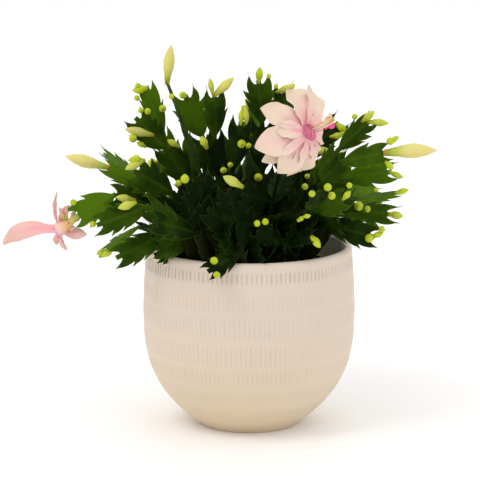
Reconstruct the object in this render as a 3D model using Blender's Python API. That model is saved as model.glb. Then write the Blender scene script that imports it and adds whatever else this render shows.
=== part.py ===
"""A Christmas cactus in bud and flower, standing in a round ceramic pot.

The plant is built as it grows: flat stem segments joined end to end make a shoot, each shoot
arches out from the soil or from a joint of an older shoot, and some end in a bud or a flower.
Lengths in this file are millimetres, and the meshes are scaled to metres when they are made.
The origin is the centre of the pot's foot, +Z is up and -Y is the side that is seen first.
"""

import math

import bmesh
import bpy
from mathutils import Matrix, Vector

METRE = 0.001  # one millimetre in Blender's unit

# The pot
POT_HEIGHT = 133.0
POT_BELLY = 77.5  # largest radius
POT_BELLY_HEIGHT = 88.0
POT_MOUTH = 75.0  # outer radius at the rim
POT_FOOT = 36.0  # outer radius at the foot
POT_WALL = 5.0
POT_FLOOR = 8.0
POT_SIDES = 36

# The soil
SOIL_TOP = 114.0
SOIL_CROWN = 3.0  # the middle stands this much higher than the edge
GAP = 0.35  # left between pieces that touch

# The stem segments
SEGMENT_LENGTH = 35.0
SEGMENT_THICK = 3.0
NECK_WIDTH = 3.6
NECK_THICK = 2.4
BASAL_WIDTH = 0.72  # share of the full width in a shoot's oldest, woody segment
BRANCH_STEP = 3.4  # a side shoot starts this far from the middle of its parent's joint

# One segment's outline: place along it, half width and half thickness as shares of the whole
OUTLINE = (
    (0.10, 0.32, 0.80),
    (0.42, 0.90, 1.00),
    (0.50, 0.76, 1.00),
    (0.86, 1.00, 0.90),
    (0.95, 0.46, 0.75),
)
BUD_OUTLINE = ((0.10, 0.55), (0.35, 0.95), (0.62, 1.00), (0.86, 0.55))
PETAL_OUTLINE = ((0.25, 0.58), (0.50, 0.96), (0.75, 0.92))
PETAL_THICK = 1.1
PETAL_FOOT = 0.25  # share of a petal's width where it joins the tube

# Each shoot: name, root, middle, end, width, lean at the root and at the end in degrees,
# then the tip and width of its end bud where it has one. A root is a place on the soil, or
# a shoot's name and the number of the joint that it grows from.
SHOOTS = (
    ("flower_front", (8, -24), (16, -46, 168), (22, -52, 200), 18, (40, 50), None),
    ("flower_left", (-30, -12), (-78, -32, 172), (-123, -36, 160), 22, (55, 75), None),
    ("left_bud", (-16, 2), (-66, -4, 168), (-103, -8, 191), 13, (60, 70), ((-133, -12, 200), 9)),
    ("left_edge", (-28, 14), (-76, 22, 172), (-106, 24, 195), 18, (20, 8), None),
    ("left_crest", (-14, 22), (-50, 22, 184), (-82, 14, 223), 23, (60, 88), None),
    ("left_pair", ("left_crest", 2), (-66, 34, 214), (-75, 34, 243), 16, (70, 80), ((-86, 34, 241), 7)),
    ("top_bud", (-8, 4), (-44, -2, 208), (-59, -6, 252), 15, (50, 12), ((-56, -6, 280), 8)),
    ("top_round", (-2, 20), (-28, 20, 192), (-46, 16, 239), 24, (60, 88), None),
    ("top_toothed", (2, -8), (-22, -16, 198), (-25, -20, 245), 20, (70, 85), ((-11, -20, 258), 7)),
    ("crown_bud", (8, 10), (10, 16, 200), (7, 16, 250), 22, (10, 10), ((8, 16, 261), 6)),
    ("crown_small", (-2, -24), (-12, -28, 186), (-6, -30, 226), 19, (-30, -30), ((-5, -30, 237), 5)),
    ("crown_back", (18, 26), (24, 34, 198), (26, 32, 241), 21, (70, 85), ((34, 32, 246), 6)),
    ("right_olive", (20, 12), (36, 12, 186), (64, 8, 220), 20, (60, 85), ((71, 6, 215), 6)),
    ("right_long", (26, 0), (50, -6, 182), (86, -8, 224), 17, (60, 75), ((101, -8, 223), 6)),
    ("right_bud", (20, -16), (50, -26, 184), (97, -30, 205), 18, (55, 70), ((134, -32, 207), 10)),
    ("right_dark", (34, 12), (60, 14, 172), (103, 12, 184), 19, (60, 75), ((113, 12, 180), 5)),
    ("right_edge", (36, -12), (64, -20, 164), (105, -22, 174), 18, (30, 10), ((115, -22, 177), 5)),
    ("right_low", (44, 12), (64, 22, 154), (104, 20, 151), 19, (40, 60), ((110, 20, 150), 5)),
    ("right_hang", (36, -24), (56, -34, 158), (88, -40, 146), 20, (50, 75), ((96, -40, 149), 5)),
    ("front_right", (16, -36), (18, -50, 162), (39, -66, 168), 18, (20, 35), None),
    ("front_low", (28, -42), (28, -60, 150), (44, -72, 152), 15, (40, 60), ((50, -72, 146), 5)),
    ("front_small", (4, -52), (6, -62, 136), (17, -66, 141), 14, (30, 20), None),
    ("front_rim", (-10, -52), (-6, -72, 143), (-28, -88, 131), 16, (20, 40), None),
    ("left_fall", (-40, -27), (-58, -43, 149), (-93, -54, 134), 20, (50, 65), None),
    ("left_spiky", (-42, -14), (-66, -28, 152), (-103, -30, 134), 16, (20, 10), ((-110, -30, 131), 5)),
    ("left_second", (-32, -42), (-58, -60, 168), (-106, -62, 159), 20, (60, 80), None),
    ("left_oval", (-22, -26), (-50, -36, 172), (-81, -40, 193), 26, (70, 88), None),
    ("left_inner", (-20, -50), (-40, -68, 158), (-66, -82, 165), 21, (60, 70), None),
    ("centre_face", (-14, -38), (-30, -56, 156), (-36, -62, 192), 24, (-50, -50), None),
    ("centre_low", (-2, -38), (-8, -60, 154), (-14, -70, 185), 22, (-40, -30), None),
    ("right_front", (24, -32), (44, -54, 166), (66, -66, 178), 20, (70, 90), ((71, -68, 184), 5)),
    ("back_left", (-20, 34), (-48, 64, 172), (-70, 92, 178), 20, (20, 40), ((-77, 102, 176), 7)),
    ("back_centre", (-4, 42), (-8, 76, 176), (-14, 112, 178), 21, (10, 30), ((-15, 125, 174), 8)),
    ("back_right", (20, 38), (42, 70, 168), (66, 96, 166), 20, (20, 40), ((73, 105, 163), 7)),
    ("back_low", (6, 52), (14, 84, 150), (22, 112, 136), 19, (10, 20), None),
    ("back_side", (40, 28), (66, 48, 160), (96, 62, 158), 20, (20, 50), None),
    ("back_fall", (-38, 24), (-64, 52, 158), (-92, 66, 142), 20, (20, 50), ((-99, 70, 138), 6)),
    ("back_high", (2, 32), (4, 54, 196), (0, 74, 222), 21, (30, 50), ((0, 80, 232), 6)),
)

# Each flower: the shoot that bears it, the middle of its mouth, the way it faces, its tube's
# width, then each petal's angle about the mouth (0 is up, 90 is the left), length, width and
# the degrees that its tip bends back.
FLOWERS = (
    ("front", "flower_front", (41, -72, 226), (0.75, -0.60, 0.28), 10, (
        (-38, 38, 12, 10), (2, 33, 14, 12), (52, 40, 13, 20), (93, 45, 15, 20),
        (129, 38, 14, 20), (166, 28, 13, 20), (206, 21, 11, 20), (258, 22, 10, 14),
    )),
    ("left", "flower_left", (-136, -38, 151), (-0.75, 0.60, -0.28), 8, (
        (266, 41, 14, -44), (120, 20, 10, 40), (352, 28, 5, 20), (24, 19, 8, 28),
        (186, 17, 6, 16), (212, 12, 7, 0),
    )),
)
PETAL_ROOT = 1.2  # share of the tube's half width at which a petal starts
STAMEN_LENGTH = 22.0
STYLE_LENGTH = 28.0


def clear_scene():
    for thing in list(bpy.data.objects):
        bpy.data.objects.remove(thing, do_unlink=True)


def make_material(name, colour, roughness, metallic=0.0):
    made = bpy.data.materials.new(name)
    made.use_nodes = True
    shader = made.node_tree.nodes["Principled BSDF"]
    shader.inputs["Base Color"].default_value = (*colour, 1.0)
    shader.inputs["Roughness"].default_value = roughness
    shader.inputs["Metallic"].default_value = metallic
    return made


def make_object(name, rings, material):
    """One closed body from rings of points: walls between the rings, and a fan on each end."""
    mesh = bmesh.new()
    loops = [[mesh.verts.new(point * METRE) for point in ring] for ring in rings]
    sides = len(loops[0])
    for low, high in zip(loops, loops[1:]):
        for i in range(sides):
            j = (i + 1) % sides
            mesh.faces.new((low[i], low[j], high[j], high[i]))
    mesh.faces.new(loops[0][::-1])
    mesh.faces.new(loops[-1])
    bmesh.ops.triangulate(mesh, faces=mesh.faces[:])
    bmesh.ops.recalc_face_normals(mesh, faces=mesh.faces[:])
    data = bpy.data.meshes.new(name)
    mesh.to_mesh(data)
    mesh.free()
    data.materials.append(material)
    data.shade_smooth()
    data.set_sharp_from_angle(angle=math.radians(35))
    made = bpy.data.objects.new(name, data)
    bpy.context.scene.collection.objects.link(made)
    return made


def turned(profile, sides):
    """Rings of a profile of (radius, height) pairs turned about the pot's axis."""
    corners = [math.tau * i / sides for i in range(sides)]
    return [[Vector((r * math.cos(a), r * math.sin(a), z)) for a in corners] for r, z in profile]


def pot_radius(height):
    """The pot's outer radius at a height: full in the belly, drawn in to the foot and the rim."""
    if height < POT_BELLY_HEIGHT:
        below = (POT_BELLY_HEIGHT - height) / POT_BELLY_HEIGHT
        return POT_FOOT + (POT_BELLY - POT_FOOT) * (1 - below**3)
    above = (height - POT_BELLY_HEIGHT) / (POT_HEIGHT - POT_BELLY_HEIGHT)
    return POT_BELLY - (POT_BELLY - POT_MOUTH) * above**1.5


def steps(low, high, count):
    return [low + (high - low) * i / count for i in range(count + 1)]


def make_pot(material):
    foot_edge = 1.5
    lip = POT_WALL / 2
    outer = [(pot_radius(z), z) for z in steps(foot_edge, POT_HEIGHT - lip, 11)]
    rim_middle = POT_MOUTH - lip
    rim = [
        (rim_middle + lip * math.cos(math.radians(a)), POT_HEIGHT - lip + lip * math.sin(math.radians(a)))
        for a in (45, 90, 135)
    ]
    inner = [(pot_radius(z) - POT_WALL, z) for z in steps(POT_HEIGHT - lip, POT_FLOOR, 6)]
    foot = [(POT_FOOT - 1.0, 0.0)]
    return make_object("pot", turned(foot + outer + rim + inner, POT_SIDES), material)


def make_soil(material):
    wall = [(pot_radius(z) - POT_WALL - GAP, z) for z in steps(POT_FLOOR + GAP, SOIL_TOP - 1.5, 5)]
    edge = pot_radius(SOIL_TOP) - POT_WALL - GAP
    top = [(edge - 2.0, SOIL_TOP), (edge * 0.5, soil_height(edge * 0.5, edge)), (6.0, soil_height(6.0, edge))]
    return make_object("soil", turned(wall + top, POT_SIDES), material)


def soil_height(radius, edge):
    return SOIL_TOP + SOIL_CROWN * (1 - (radius / edge) ** 2)


def arch(root, middle, end):
    """Joints of a shoot: points at even spacing on the curve through three places."""
    turn = middle * 2 - (root + end) / 2
    fine = [root * (1 - t) ** 2 + turn * 2 * t * (1 - t) + end * t**2 for t in steps(0, 1, 60)]
    length = sum((b - a).length for a, b in zip(fine, fine[1:]))
    count = max(1, round(length / SEGMENT_LENGTH))
    joints, run, wanted = [fine[0]], 0.0, length / count
    for a, b in zip(fine, fine[1:]):
        run += (b - a).length
        if run >= wanted - 1e-6 and len(joints) < count:
            joints.append(b)
            wanted += length / count
    return joints + [end]


def blade_axes(joints, leans):
    """For each segment: its direction, its width's direction and its face's direction."""
    heading = joints[-1] - joints[0]
    across = heading.cross(Vector((0, 0, 1))).normalized()
    front = 1 if heading.x > 0 else -1  # a lean turns the upper face to the front on both sides
    axes = []
    for i, (a, b) in enumerate(zip(joints, joints[1:])):
        along = (b - a).normalized()
        side = (across - along * across.dot(along)).normalized()
        share = i / max(1, len(joints) - 2)
        roll = front * math.radians(leans[0] + (leans[1] - leans[0]) * share)
        side = Matrix.Rotation(roll, 3, along) @ side
        axes.append((along, side, side.cross(along)))
    return axes


def flat_ring(centre, side, face, width, thick):
    """A six-sided ring: a thin edge at each side and a low roof on each face."""
    return [
        centre + side * (width * x / 2) + face * (thick * y / 2)
        for x, y in ((1, 0), (0.45, 1), (-0.45, 1), (-1, 0), (-0.45, -1), (0.45, -1))
    ]


def shoot_rings(joints, axes, width, bud, basal):
    """Rings of one shoot, from its root's neck to its tip."""
    neck = (NECK_WIDTH, NECK_THICK)
    side, face = axes[0][1:]
    if basal:  # the root's ring lies level, on the soil
        side = Vector((side.x, side.y, 0)).normalized()
        face = side.cross(Vector((0, 0, 1)))
    rings = [flat_ring(joints[0], side, face, *neck)]
    for i, (along, side, face) in enumerate(axes):
        reach = (joints[i + 1] - joints[i]).length
        last = i == len(axes) - 1
        broad = width * (BASAL_WIDTH if basal and i == 0 else 1.0)
        for place, wide, deep in OUTLINE:
            centre = joints[i] + along * (reach * place)
            rings.append(flat_ring(centre, side, face, broad * wide, SEGMENT_THICK * deep))
        if not last:
            side = (side + axes[i + 1][1]).normalized()
            face = (face + axes[i + 1][2]).normalized()
        rings.append(flat_ring(joints[i + 1], side, face, *neck))
    if bud:
        rings += bud_rings(joints[-1], Vector(bud[0]), axes[-1][1], bud[1])
    return rings


def bud_rings(base, tip, side, width):
    along = (tip - base).normalized()
    side = (side - along * side.dot(along)).normalized()
    face = side.cross(along)
    reach = (tip - base).length
    rings = []
    for place, wide in BUD_OUTLINE:
        rings.append(flat_ring(base + along * (reach * place), side, face, width * wide, width * wide * 0.87))
    rings.append(flat_ring(tip, side, face, width * 0.12, width * 0.12))
    return rings


def is_basal(root):
    return not isinstance(root[0], str)


def root_place(root, middle, grown):
    """Where a shoot starts: just over the soil, or beside a joint of the shoot that bears it."""
    if not is_basal(root):
        joints, axes = grown[root[0]]
        joint = joints[root[1]]
        face = axes[root[1] - 1][2]
        out = 1 if face.dot(middle - joint) > 0 else -1
        return joint + face * (out * BRANCH_STEP)
    edge = pot_radius(SOIL_TOP) - POT_WALL - GAP
    radius = math.hypot(*root)
    return Vector((*root, soil_height(radius, edge) + GAP))


def ring_path(centres, sizes, side, first_way=None, last_way=None):
    """Flat rings along a line of centres. sizes are (width, thickness) pairs.

    The first and last rings may be squared to a given direction, to meet a neighbour."""
    last = len(centres) - 1
    rings = []
    for i, (centre, (width, thick)) in enumerate(zip(centres, sizes)):
        along = (centres[min(i + 1, last)] - centres[max(i - 1, 0)]).normalized()
        if i == 0 and first_way:
            along = first_way
        if i == last and last_way:
            along = last_way
        across = (side - along * side.dot(along)).normalized()
        rings.append(flat_ring(centre, across, across.cross(along), width, thick))
    return rings


def curve_points(root, middle, end, count):
    turn = middle * 2 - (root + end) / 2
    return [root * (1 - t) ** 2 + turn * 2 * t * (1 - t) + end * t**2 for t in steps(0, 1, count)]


def flower_bodies(plan, stem_end, stem_way):
    """The rings of a flower's tube, petals, stamens and style, by the name of each piece."""
    name, _, mouth, facing, width, petals = plan
    mouth, facing = Vector(mouth), Vector(facing).normalized()
    up = (Vector((0, 0, 1)) - facing * facing.z).normalized()
    left = facing.cross(up)
    start = stem_end + stem_way * GAP
    middle = (start + mouth) / 2 - facing * 1.5 + (mouth - start).normalized() * 1.0
    line = curve_points(start, middle, mouth - facing * GAP, 5)
    widths = [NECK_WIDTH, width * 0.62, width * 0.60, width * 0.66, width * 0.82, width]
    bodies = {f"{name}_tube": ring_path(line, [(w, w * 0.87) for w in widths], left, stem_way, facing)}
    for number, (angle, length, broad, bent) in enumerate(petals, 1):
        turn = math.radians(angle)
        out = up * math.cos(turn) + left * math.sin(turn)
        back = math.radians(bent)
        base = mouth + out * (width / 2 * PETAL_ROOT)
        tip = mouth + out * (length * math.cos(back)) - facing * (length * math.sin(back))
        bend = (base + tip) / 2 + facing * (length * 0.07)
        line = curve_points(base, bend, tip, 4)
        sizes = [(broad * PETAL_FOOT, PETAL_THICK)]
        sizes += [(broad * wide, PETAL_THICK) for _, wide in PETAL_OUTLINE]
        sizes += [(broad * 0.16, PETAL_THICK * 0.6)]
        bodies[f"{name}_petal_{number}"] = ring_path(line, sizes, facing.cross(out))
    reach = facing * STAMEN_LENGTH
    base = mouth + facing * GAP + up * (width * 0.16)
    line = curve_points(base, base + reach / 2 + up * 1.0, base + reach + up * 5, 3)
    bodies[f"{name}_stamens"] = ring_path(line, [(2.4, 2.0), (3.0, 2.6), (4.4, 3.8), (5.6, 4.8)], left, facing)
    base = mouth + facing * GAP - up * (width * 0.22)
    line = curve_points(base, base + facing * (STYLE_LENGTH / 2), base + facing * STYLE_LENGTH, 3)
    bodies[f"{name}_style"] = ring_path(line, [(1.2, 1.2), (1.2, 1.2), (1.3, 1.3), (3.0, 3.0)], left, facing)
    return bodies


def main():
    clear_scene()
    glaze = make_material("cream_glaze", (0.78, 0.70, 0.58), 0.28)
    earth = make_material("peat", (0.05, 0.035, 0.022), 0.95)
    green = make_material("stem_green", (0.07, 0.16, 0.025), 0.42)
    bloom = {
        "tube": make_material("tube_rose", (0.80, 0.42, 0.45), 0.50),
        "petal": make_material("petal_pink", (0.90, 0.68, 0.64), 0.55),
        "stamens": make_material("stamen_cream", (0.90, 0.82, 0.66), 0.60),
        "style": make_material("style_magenta", (0.75, 0.08, 0.28), 0.45),
    }
    make_pot(glaze)
    make_soil(earth)
    flowers = {plan[1]: plan for plan in FLOWERS}
    grown = {}
    for name, root, middle, end, width, leans, bud in SHOOTS:
        middle, end = Vector(middle), Vector(end)
        joints = arch(root_place(root, middle, grown), middle, end)
        axes = blade_axes(joints, leans)
        grown[name] = (joints, axes)
        make_object("shoot_" + name, shoot_rings(joints, axes, width, bud, is_basal(root)), green)
        if name in flowers:
            for piece, rings in flower_bodies(flowers[name], end, axes[-1][0]).items():
                make_object("flower_" + piece, rings, bloom[piece.split("_")[1]])


main()
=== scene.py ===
"""A potted Christmas cactus in bud and flower.

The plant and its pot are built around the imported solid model, which gives every place and size.
Lengths in the tables are millimetres; meshes are scaled to metres as they are made.
"""

import itertools
import math
import random
from functools import lru_cache

import bpy
import numpy as np
from bpy.props import FloatProperty, FloatVectorProperty, IntProperty, PointerProperty
from mathutils import Matrix, Vector
from mathutils.geometry import delaunay_2d_cdt


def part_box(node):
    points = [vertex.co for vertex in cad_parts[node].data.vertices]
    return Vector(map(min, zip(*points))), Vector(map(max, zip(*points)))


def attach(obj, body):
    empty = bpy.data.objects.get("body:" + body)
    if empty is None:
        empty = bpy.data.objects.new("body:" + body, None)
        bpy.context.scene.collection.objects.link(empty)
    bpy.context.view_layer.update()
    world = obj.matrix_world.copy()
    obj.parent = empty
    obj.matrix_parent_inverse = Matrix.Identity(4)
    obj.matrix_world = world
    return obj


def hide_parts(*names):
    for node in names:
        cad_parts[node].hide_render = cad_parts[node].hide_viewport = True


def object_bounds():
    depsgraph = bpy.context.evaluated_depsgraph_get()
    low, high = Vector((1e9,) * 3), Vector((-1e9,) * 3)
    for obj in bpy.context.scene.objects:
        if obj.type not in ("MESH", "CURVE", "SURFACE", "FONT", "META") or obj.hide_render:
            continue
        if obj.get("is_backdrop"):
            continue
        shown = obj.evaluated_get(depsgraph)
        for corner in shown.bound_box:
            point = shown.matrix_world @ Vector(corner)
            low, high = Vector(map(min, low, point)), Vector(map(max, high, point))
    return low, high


bl_info = {
    "name": "Potted Christmas Cactus",
    "version": (1, 0, 0),
    "blender": (4, 5, 0),
    "location": "3D View > Sidebar > Cactus",
    "description": "Builds a Christmas cactus in bud and flower in a combed pot",
    "category": "Add Mesh",
}

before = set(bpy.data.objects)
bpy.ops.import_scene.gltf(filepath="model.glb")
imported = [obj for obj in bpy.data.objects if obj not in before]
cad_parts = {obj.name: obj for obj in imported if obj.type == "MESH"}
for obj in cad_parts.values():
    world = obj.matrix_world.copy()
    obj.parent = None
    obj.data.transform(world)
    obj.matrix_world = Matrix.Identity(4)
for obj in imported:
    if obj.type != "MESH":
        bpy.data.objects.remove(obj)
CAD_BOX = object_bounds()
POT_HIGH = Vector(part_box("pot")[1])
BODY = "root"
METRE = 0.001  # one millimetre in Blender's unit

# ---------------------------------------------------------------- the plan, in millimetres

POT_HEIGHT = POT_HIGH.z / METRE
POT_BELLY = POT_HIGH.x / METRE
POT_BELLY_HEIGHT = 88.0
POT_MOUTH = 75.0
POT_FOOT = 36.0
POT_WALL = 5.0
POT_FLOOR = 8.0
SOIL_TOP = 114.0
SOIL_CROWN = 3.0
GAP = 0.35
SEGMENT_LENGTH = 35.0
BRANCH_STEP = 3.4
BASAL_WIDTH = 0.86
NECK_HALF = 1.8

# Each shoot: name, root, middle, end, width, lean at the root and at the end in degrees,
# then the tip and width of its end bud where it has one. A root is a place on the soil, or
# a shoot's name and the number of the joint that it grows from.
SHOOTS = (
    ("flower_front", (8, -24), (16, -46, 168), (22, -52, 200), 18, (40, 50), None),
    ("flower_left", (-30, -12), (-78, -32, 172), (-123, -36, 160), 22, (55, 75), None),
    ("left_bud", (-16, 2), (-66, -4, 168), (-103, -8, 191), 13, (60, 70), ((-133, -12, 200), 9)),
    ("left_edge", (-28, 14), (-76, 22, 172), (-106, 24, 195), 18, (20, 8), None),
    ("left_crest", (-14, 22), (-50, 22, 184), (-82, 14, 223), 23, (60, 88), None),
    ("left_pair", ("left_crest", 2), (-66, 34, 214), (-75, 34, 243), 16, (70, 80),
     ((-86, 34, 241), 7)),
    ("top_bud", (-8, 4), (-44, -2, 208), (-59, -6, 252), 15, (50, 12), ((-56, -6, 280), 8)),
    ("top_round", (-2, 20), (-28, 20, 192), (-46, 16, 239), 24, (60, 88), None),
    ("top_toothed", (2, -8), (-22, -16, 198), (-25, -20, 245), 20, (70, 85), ((-11, -20, 258), 7)),
    ("crown_bud", (8, 10), (10, 16, 200), (7, 16, 250), 22, (10, 10), ((8, 16, 261), 6)),
    ("crown_small", (-2, -24), (-12, -28, 186), (-6, -30, 226), 19, (-30, -30),
     ((-5, -30, 237), 5)),
    ("crown_back", (18, 26), (24, 34, 198), (26, 32, 241), 21, (70, 85), ((34, 32, 246), 6)),
    ("right_olive", (20, 12), (36, 12, 186), (64, 8, 220), 20, (60, 85), ((71, 6, 215), 6)),
    ("right_long", (26, 0), (50, -6, 182), (86, -8, 224), 17, (60, 75), ((101, -8, 223), 6)),
    ("right_bud", (20, -16), (50, -26, 184), (97, -30, 205), 18, (55, 70), ((134, -32, 207), 10)),
    ("right_dark", (34, 12), (60, 14, 172), (103, 12, 184), 19, (60, 75), ((113, 12, 180), 5)),
    ("right_edge", (36, -12), (64, -20, 164), (105, -22, 174), 18, (30, 10), ((115, -22, 177), 5)),
    ("right_low", (44, 12), (64, 22, 154), (104, 20, 151), 19, (40, 60), ((110, 20, 150), 5)),
    ("right_hang", (36, -24), (56, -34, 158), (88, -40, 146), 20, (50, 75), ((96, -40, 149), 5)),
    ("front_right", (16, -36), (18, -50, 162), (39, -66, 168), 18, (20, 35), None),
    ("front_low", (28, -42), (28, -60, 150), (44, -72, 152), 15, (40, 60), ((50, -72, 146), 5)),
    ("front_small", (4, -52), (6, -62, 136), (17, -66, 141), 14, (30, 20), None),
    ("front_rim", (-10, -52), (-6, -72, 143), (-28, -88, 131), 16, (20, 40), None),
    ("left_fall", (-40, -27), (-58, -43, 149), (-93, -54, 134), 20, (50, 65), None),
    ("left_spiky", (-42, -14), (-66, -28, 152), (-103, -30, 134), 16, (20, 10),
     ((-110, -30, 131), 5)),
    ("left_second", (-32, -42), (-58, -60, 168), (-106, -62, 159), 20, (60, 80), None),
    ("left_oval", (-22, -26), (-50, -36, 172), (-81, -40, 193), 26, (70, 88), None),
    ("left_inner", (-20, -50), (-40, -68, 158), (-66, -82, 165), 21, (60, 70), None),
    ("centre_face", (-14, -38), (-30, -56, 156), (-36, -62, 192), 24, (-50, -50), None),
    ("centre_low", (-2, -38), (-8, -60, 154), (-14, -70, 185), 22, (-40, -30), None),
    ("right_front", (24, -32), (44, -54, 166), (66, -66, 178), 20, (70, 90), ((71, -68, 184), 5)),
    ("back_left", (-20, 34), (-48, 64, 172), (-70, 92, 178), 20, (20, 40), ((-77, 102, 176), 7)),
    ("back_centre", (-4, 42), (-8, 76, 176), (-14, 112, 178), 21, (10, 30), ((-15, 125, 174), 8)),
    ("back_right", (20, 38), (42, 70, 168), (66, 96, 166), 20, (20, 40), ((73, 105, 163), 7)),
    ("back_low", (6, 52), (14, 84, 150), (22, 112, 136), 19, (10, 20), None),
    ("back_side", (40, 28), (66, 48, 160), (96, 62, 158), 20, (20, 50), None),
    ("back_fall", (-38, 24), (-64, 52, 158), (-92, 66, 142), 20, (20, 50), ((-99, 70, 138), 6)),
    ("back_high", (2, 32), (4, 54, 196), (0, 74, 222), 21, (30, 50), ((0, 80, 232), 6)),
)

# Each flower: the shoot that bears it, the middle of its mouth, the way it faces, its tube's
# width, then each petal's angle about the mouth (0 is up, 90 is the left), length, width and
# the degrees that its tip bends back.
FLOWERS = (
    ("front", "flower_front", (41, -72, 226), (0.75, -0.60, 0.28), 10, (
        (-38, 38, 12, 10), (2, 33, 14, 12), (52, 40, 13, 20), (93, 45, 15, 20),
        (129, 38, 14, 20), (166, 28, 13, 20), (206, 21, 11, 20), (258, 22, 10, 14),
    )),
    ("left", "flower_left", (-136, -38, 151), (-0.75, 0.60, -0.28), 8, (
        (266, 41, 14, -44), (120, 20, 10, 40), (352, 28, 5, 20), (24, 19, 8, 28),
        (186, 17, 6, 16), (212, 12, 7, 0),
    )),
)
# Petals that only the visual model has, in the same form.
INNER_PETALS = {
    "front": (
        (76, 30, 9, 12), (110, 42, 9, 24), (148, 34, 9, 24), (184, 27, 8, 24),
        (232, 17, 8, 18), (300, 18, 8, 8),
    ),
}
STYLE_LENGTH = 16.0

EYE = Vector((-6.6, -1800, 488))  # where the camera stands
AIM = Vector((-6.6, 0, 135.7))  # what it points at
LENS = 188.2

# Each small bud: where the eye sees it on the upright plane through the pot's middle (aside and
# up), how far its tip leans aside and up, and its width.
BUDS = (
    (-68, 214, -20, 4, 6.5), (-75, 199, -13, -7, 5.8), (-76, 202, -6, 3, 3.9),
    (-77, 197, -9, -1, 4.5), (-84, 168, -13, 2, 5.8), (-84, 165, -12, -4, 5.8),
    (58, 213, 9, 1, 4.5), (63, 216, 9, 2, 3.2),
    (81, 226, 8, 7, 5.2), (-25, 243, -2, 11, 3.9), (-4, 173, -13, 7, 6.5), (-49, 206, -8, 5, 4.5),
    (-28, 204, -4, 8, 5.2), (22, 245, 12, 4, 5.2), (-4, 221, -1, 12, 3.9), (48, 200, 11, 1, 5.8),
    (102, 208, 6, 4, 3.9), (99, 196, 5, -5, 4.5), (47, 138, 6, -7, 4.5), (-112, 124, 9, 4, 4.5),
    (102, 157, 10, -2, 5.8), (39, 153, 5, 1, 3.2),
    (-77, 229, 0, 0, 3.9), (-71, 230, 0, 0, 4.5), (-65, 231, 0, 0, 5.2), (-87, 207, -2, 0, 5.8),
    (-49, 246, 0, 2, 5.2), (-53, 242, -2, 0, 3.9), (-8, 206, 0, 0, 5.8), (-1, 203, 0, 0, 3.9),
    (8, 184, 0, 0, 5.8), (-20, 187, 0, 0, 4.5), (-16, 190, 0, 0, 3.9), (-51, 178, -2, 0, 4.5),
    (-45, 179, 0, 0, 5.8), (-49, 183, 0, 2, 3.2), (8, 146, -2, 0, 4.5), (14, 148, 0, 0, 4.5),
    (-26, 123, 0, 0, 5.2), (-22, 112, 0, 0, 4.5), (40, 184, 0, 0, 3.9), (39, 176, 0, 0, 4.5),
    (43, 171, 0, 0, 4.5), (56, 172, 0, 0, 5.2), (61, 167, 0, 0, 5.2), (72, 175, 0, 0, 3.9),
    (81, 162, 0, 0, 6.5), (87, 160, 3, 0, 4.5), (34, 151, 0, 0, 2.6), (36, 150, 0, 0, 3.2),
    (86, 139, 0, 0, 5.8), (98, 145, 2, 0, 4.5), (-115, 147, -3, 0, 4.5), (-130, 166, 0, 2, 4.5),
    (100, 207, 0, 2, 5.2), (71, 229, 0, 2, 3.9), (-86, 243, -2, 2, 3.9), (-82, 248, 0, 2, 3.9),
    (13, 255, 0, 2, 3.2), (19, 251, 0, 2, 3.2), (-82, 201, -2, 0, 5.2),
)

HEART = Vector((0, -25, 130))  # the middle of the plant, where shade is painted into the segments' green
PAINTED_SHADE_RADII = (52, 94)  # where the painted shade starts to lift, and where it has gone
PAINTED_LIGHT_SIDE = (68, 93)  # how far to the right of the heart the segments are painted lighter, as painted light

# ---------------------------------------------------------------- growth


def steps(low, high, count):
    return [low + (high - low) * i / count for i in range(count + 1)]


def between(value, low, high):
    """Where a value stands from low to high, kept from 0 to 1."""
    return min(1.0, max(0.0, (value - low) / (high - low)))


def around(up, left, turn):
    """The direction at an angle from up towards the left."""
    return up * math.cos(turn) + left * math.sin(turn)


def pot_radius(height):
    """The pot's outer radius at a height: full in the belly, drawn in to the foot and the rim."""
    if height < POT_BELLY_HEIGHT:
        below = (POT_BELLY_HEIGHT - height) / POT_BELLY_HEIGHT
        return POT_FOOT + (POT_BELLY - POT_FOOT) * (1 - below**3)
    above = (height - POT_BELLY_HEIGHT) / (POT_HEIGHT - POT_BELLY_HEIGHT)
    return POT_BELLY - (POT_BELLY - POT_MOUTH) * above**1.5


def soil_edge():
    return pot_radius(SOIL_TOP) - POT_WALL - GAP


def soil_height(radius):
    return SOIL_TOP + SOIL_CROWN * (1 - (radius / soil_edge()) ** 2)


def curve_points(root, middle, end, count):
    """Points on the smooth curve that passes through three places."""
    turn = middle * 2 - (root + end) / 2
    return [root * (1 - t) ** 2 + turn * 2 * t * (1 - t) + end * t**2 for t in steps(0, 1, count)]


def arch(root, middle, end):
    """Joints of a shoot: points at even spacing on the curve through three places."""
    fine = curve_points(root, middle, end, 60)
    length = sum((b - a).length for a, b in zip(fine, fine[1:]))
    count = max(1, round(length / SEGMENT_LENGTH))
    joints, run, wanted = [fine[0]], 0.0, length / count
    for a, b in zip(fine, fine[1:]):
        run += (b - a).length
        if run >= wanted - 1e-6 and len(joints) < count:
            joints.append(b)
            wanted += length / count
    return joints + [end]


def blade_axes(joints, leans):
    """For each segment: its direction, its width's direction and its face's direction."""
    heading = joints[-1] - joints[0]
    across = heading.cross(Vector((0, 0, 1))).normalized()
    front = 1 if heading.x > 0 else -1  # a lean turns the upper face to the front on both sides
    axes = []
    for i, (a, b) in enumerate(zip(joints, joints[1:])):
        along = (b - a).normalized()
        side = (across - along * across.dot(along)).normalized()
        share = i / max(1, len(joints) - 2)
        roll = front * math.radians(leans[0] + (leans[1] - leans[0]) * share)
        side = Matrix.Rotation(roll, 3, along) @ side
        axes.append((along, side, side.cross(along)))
    return axes


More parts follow.
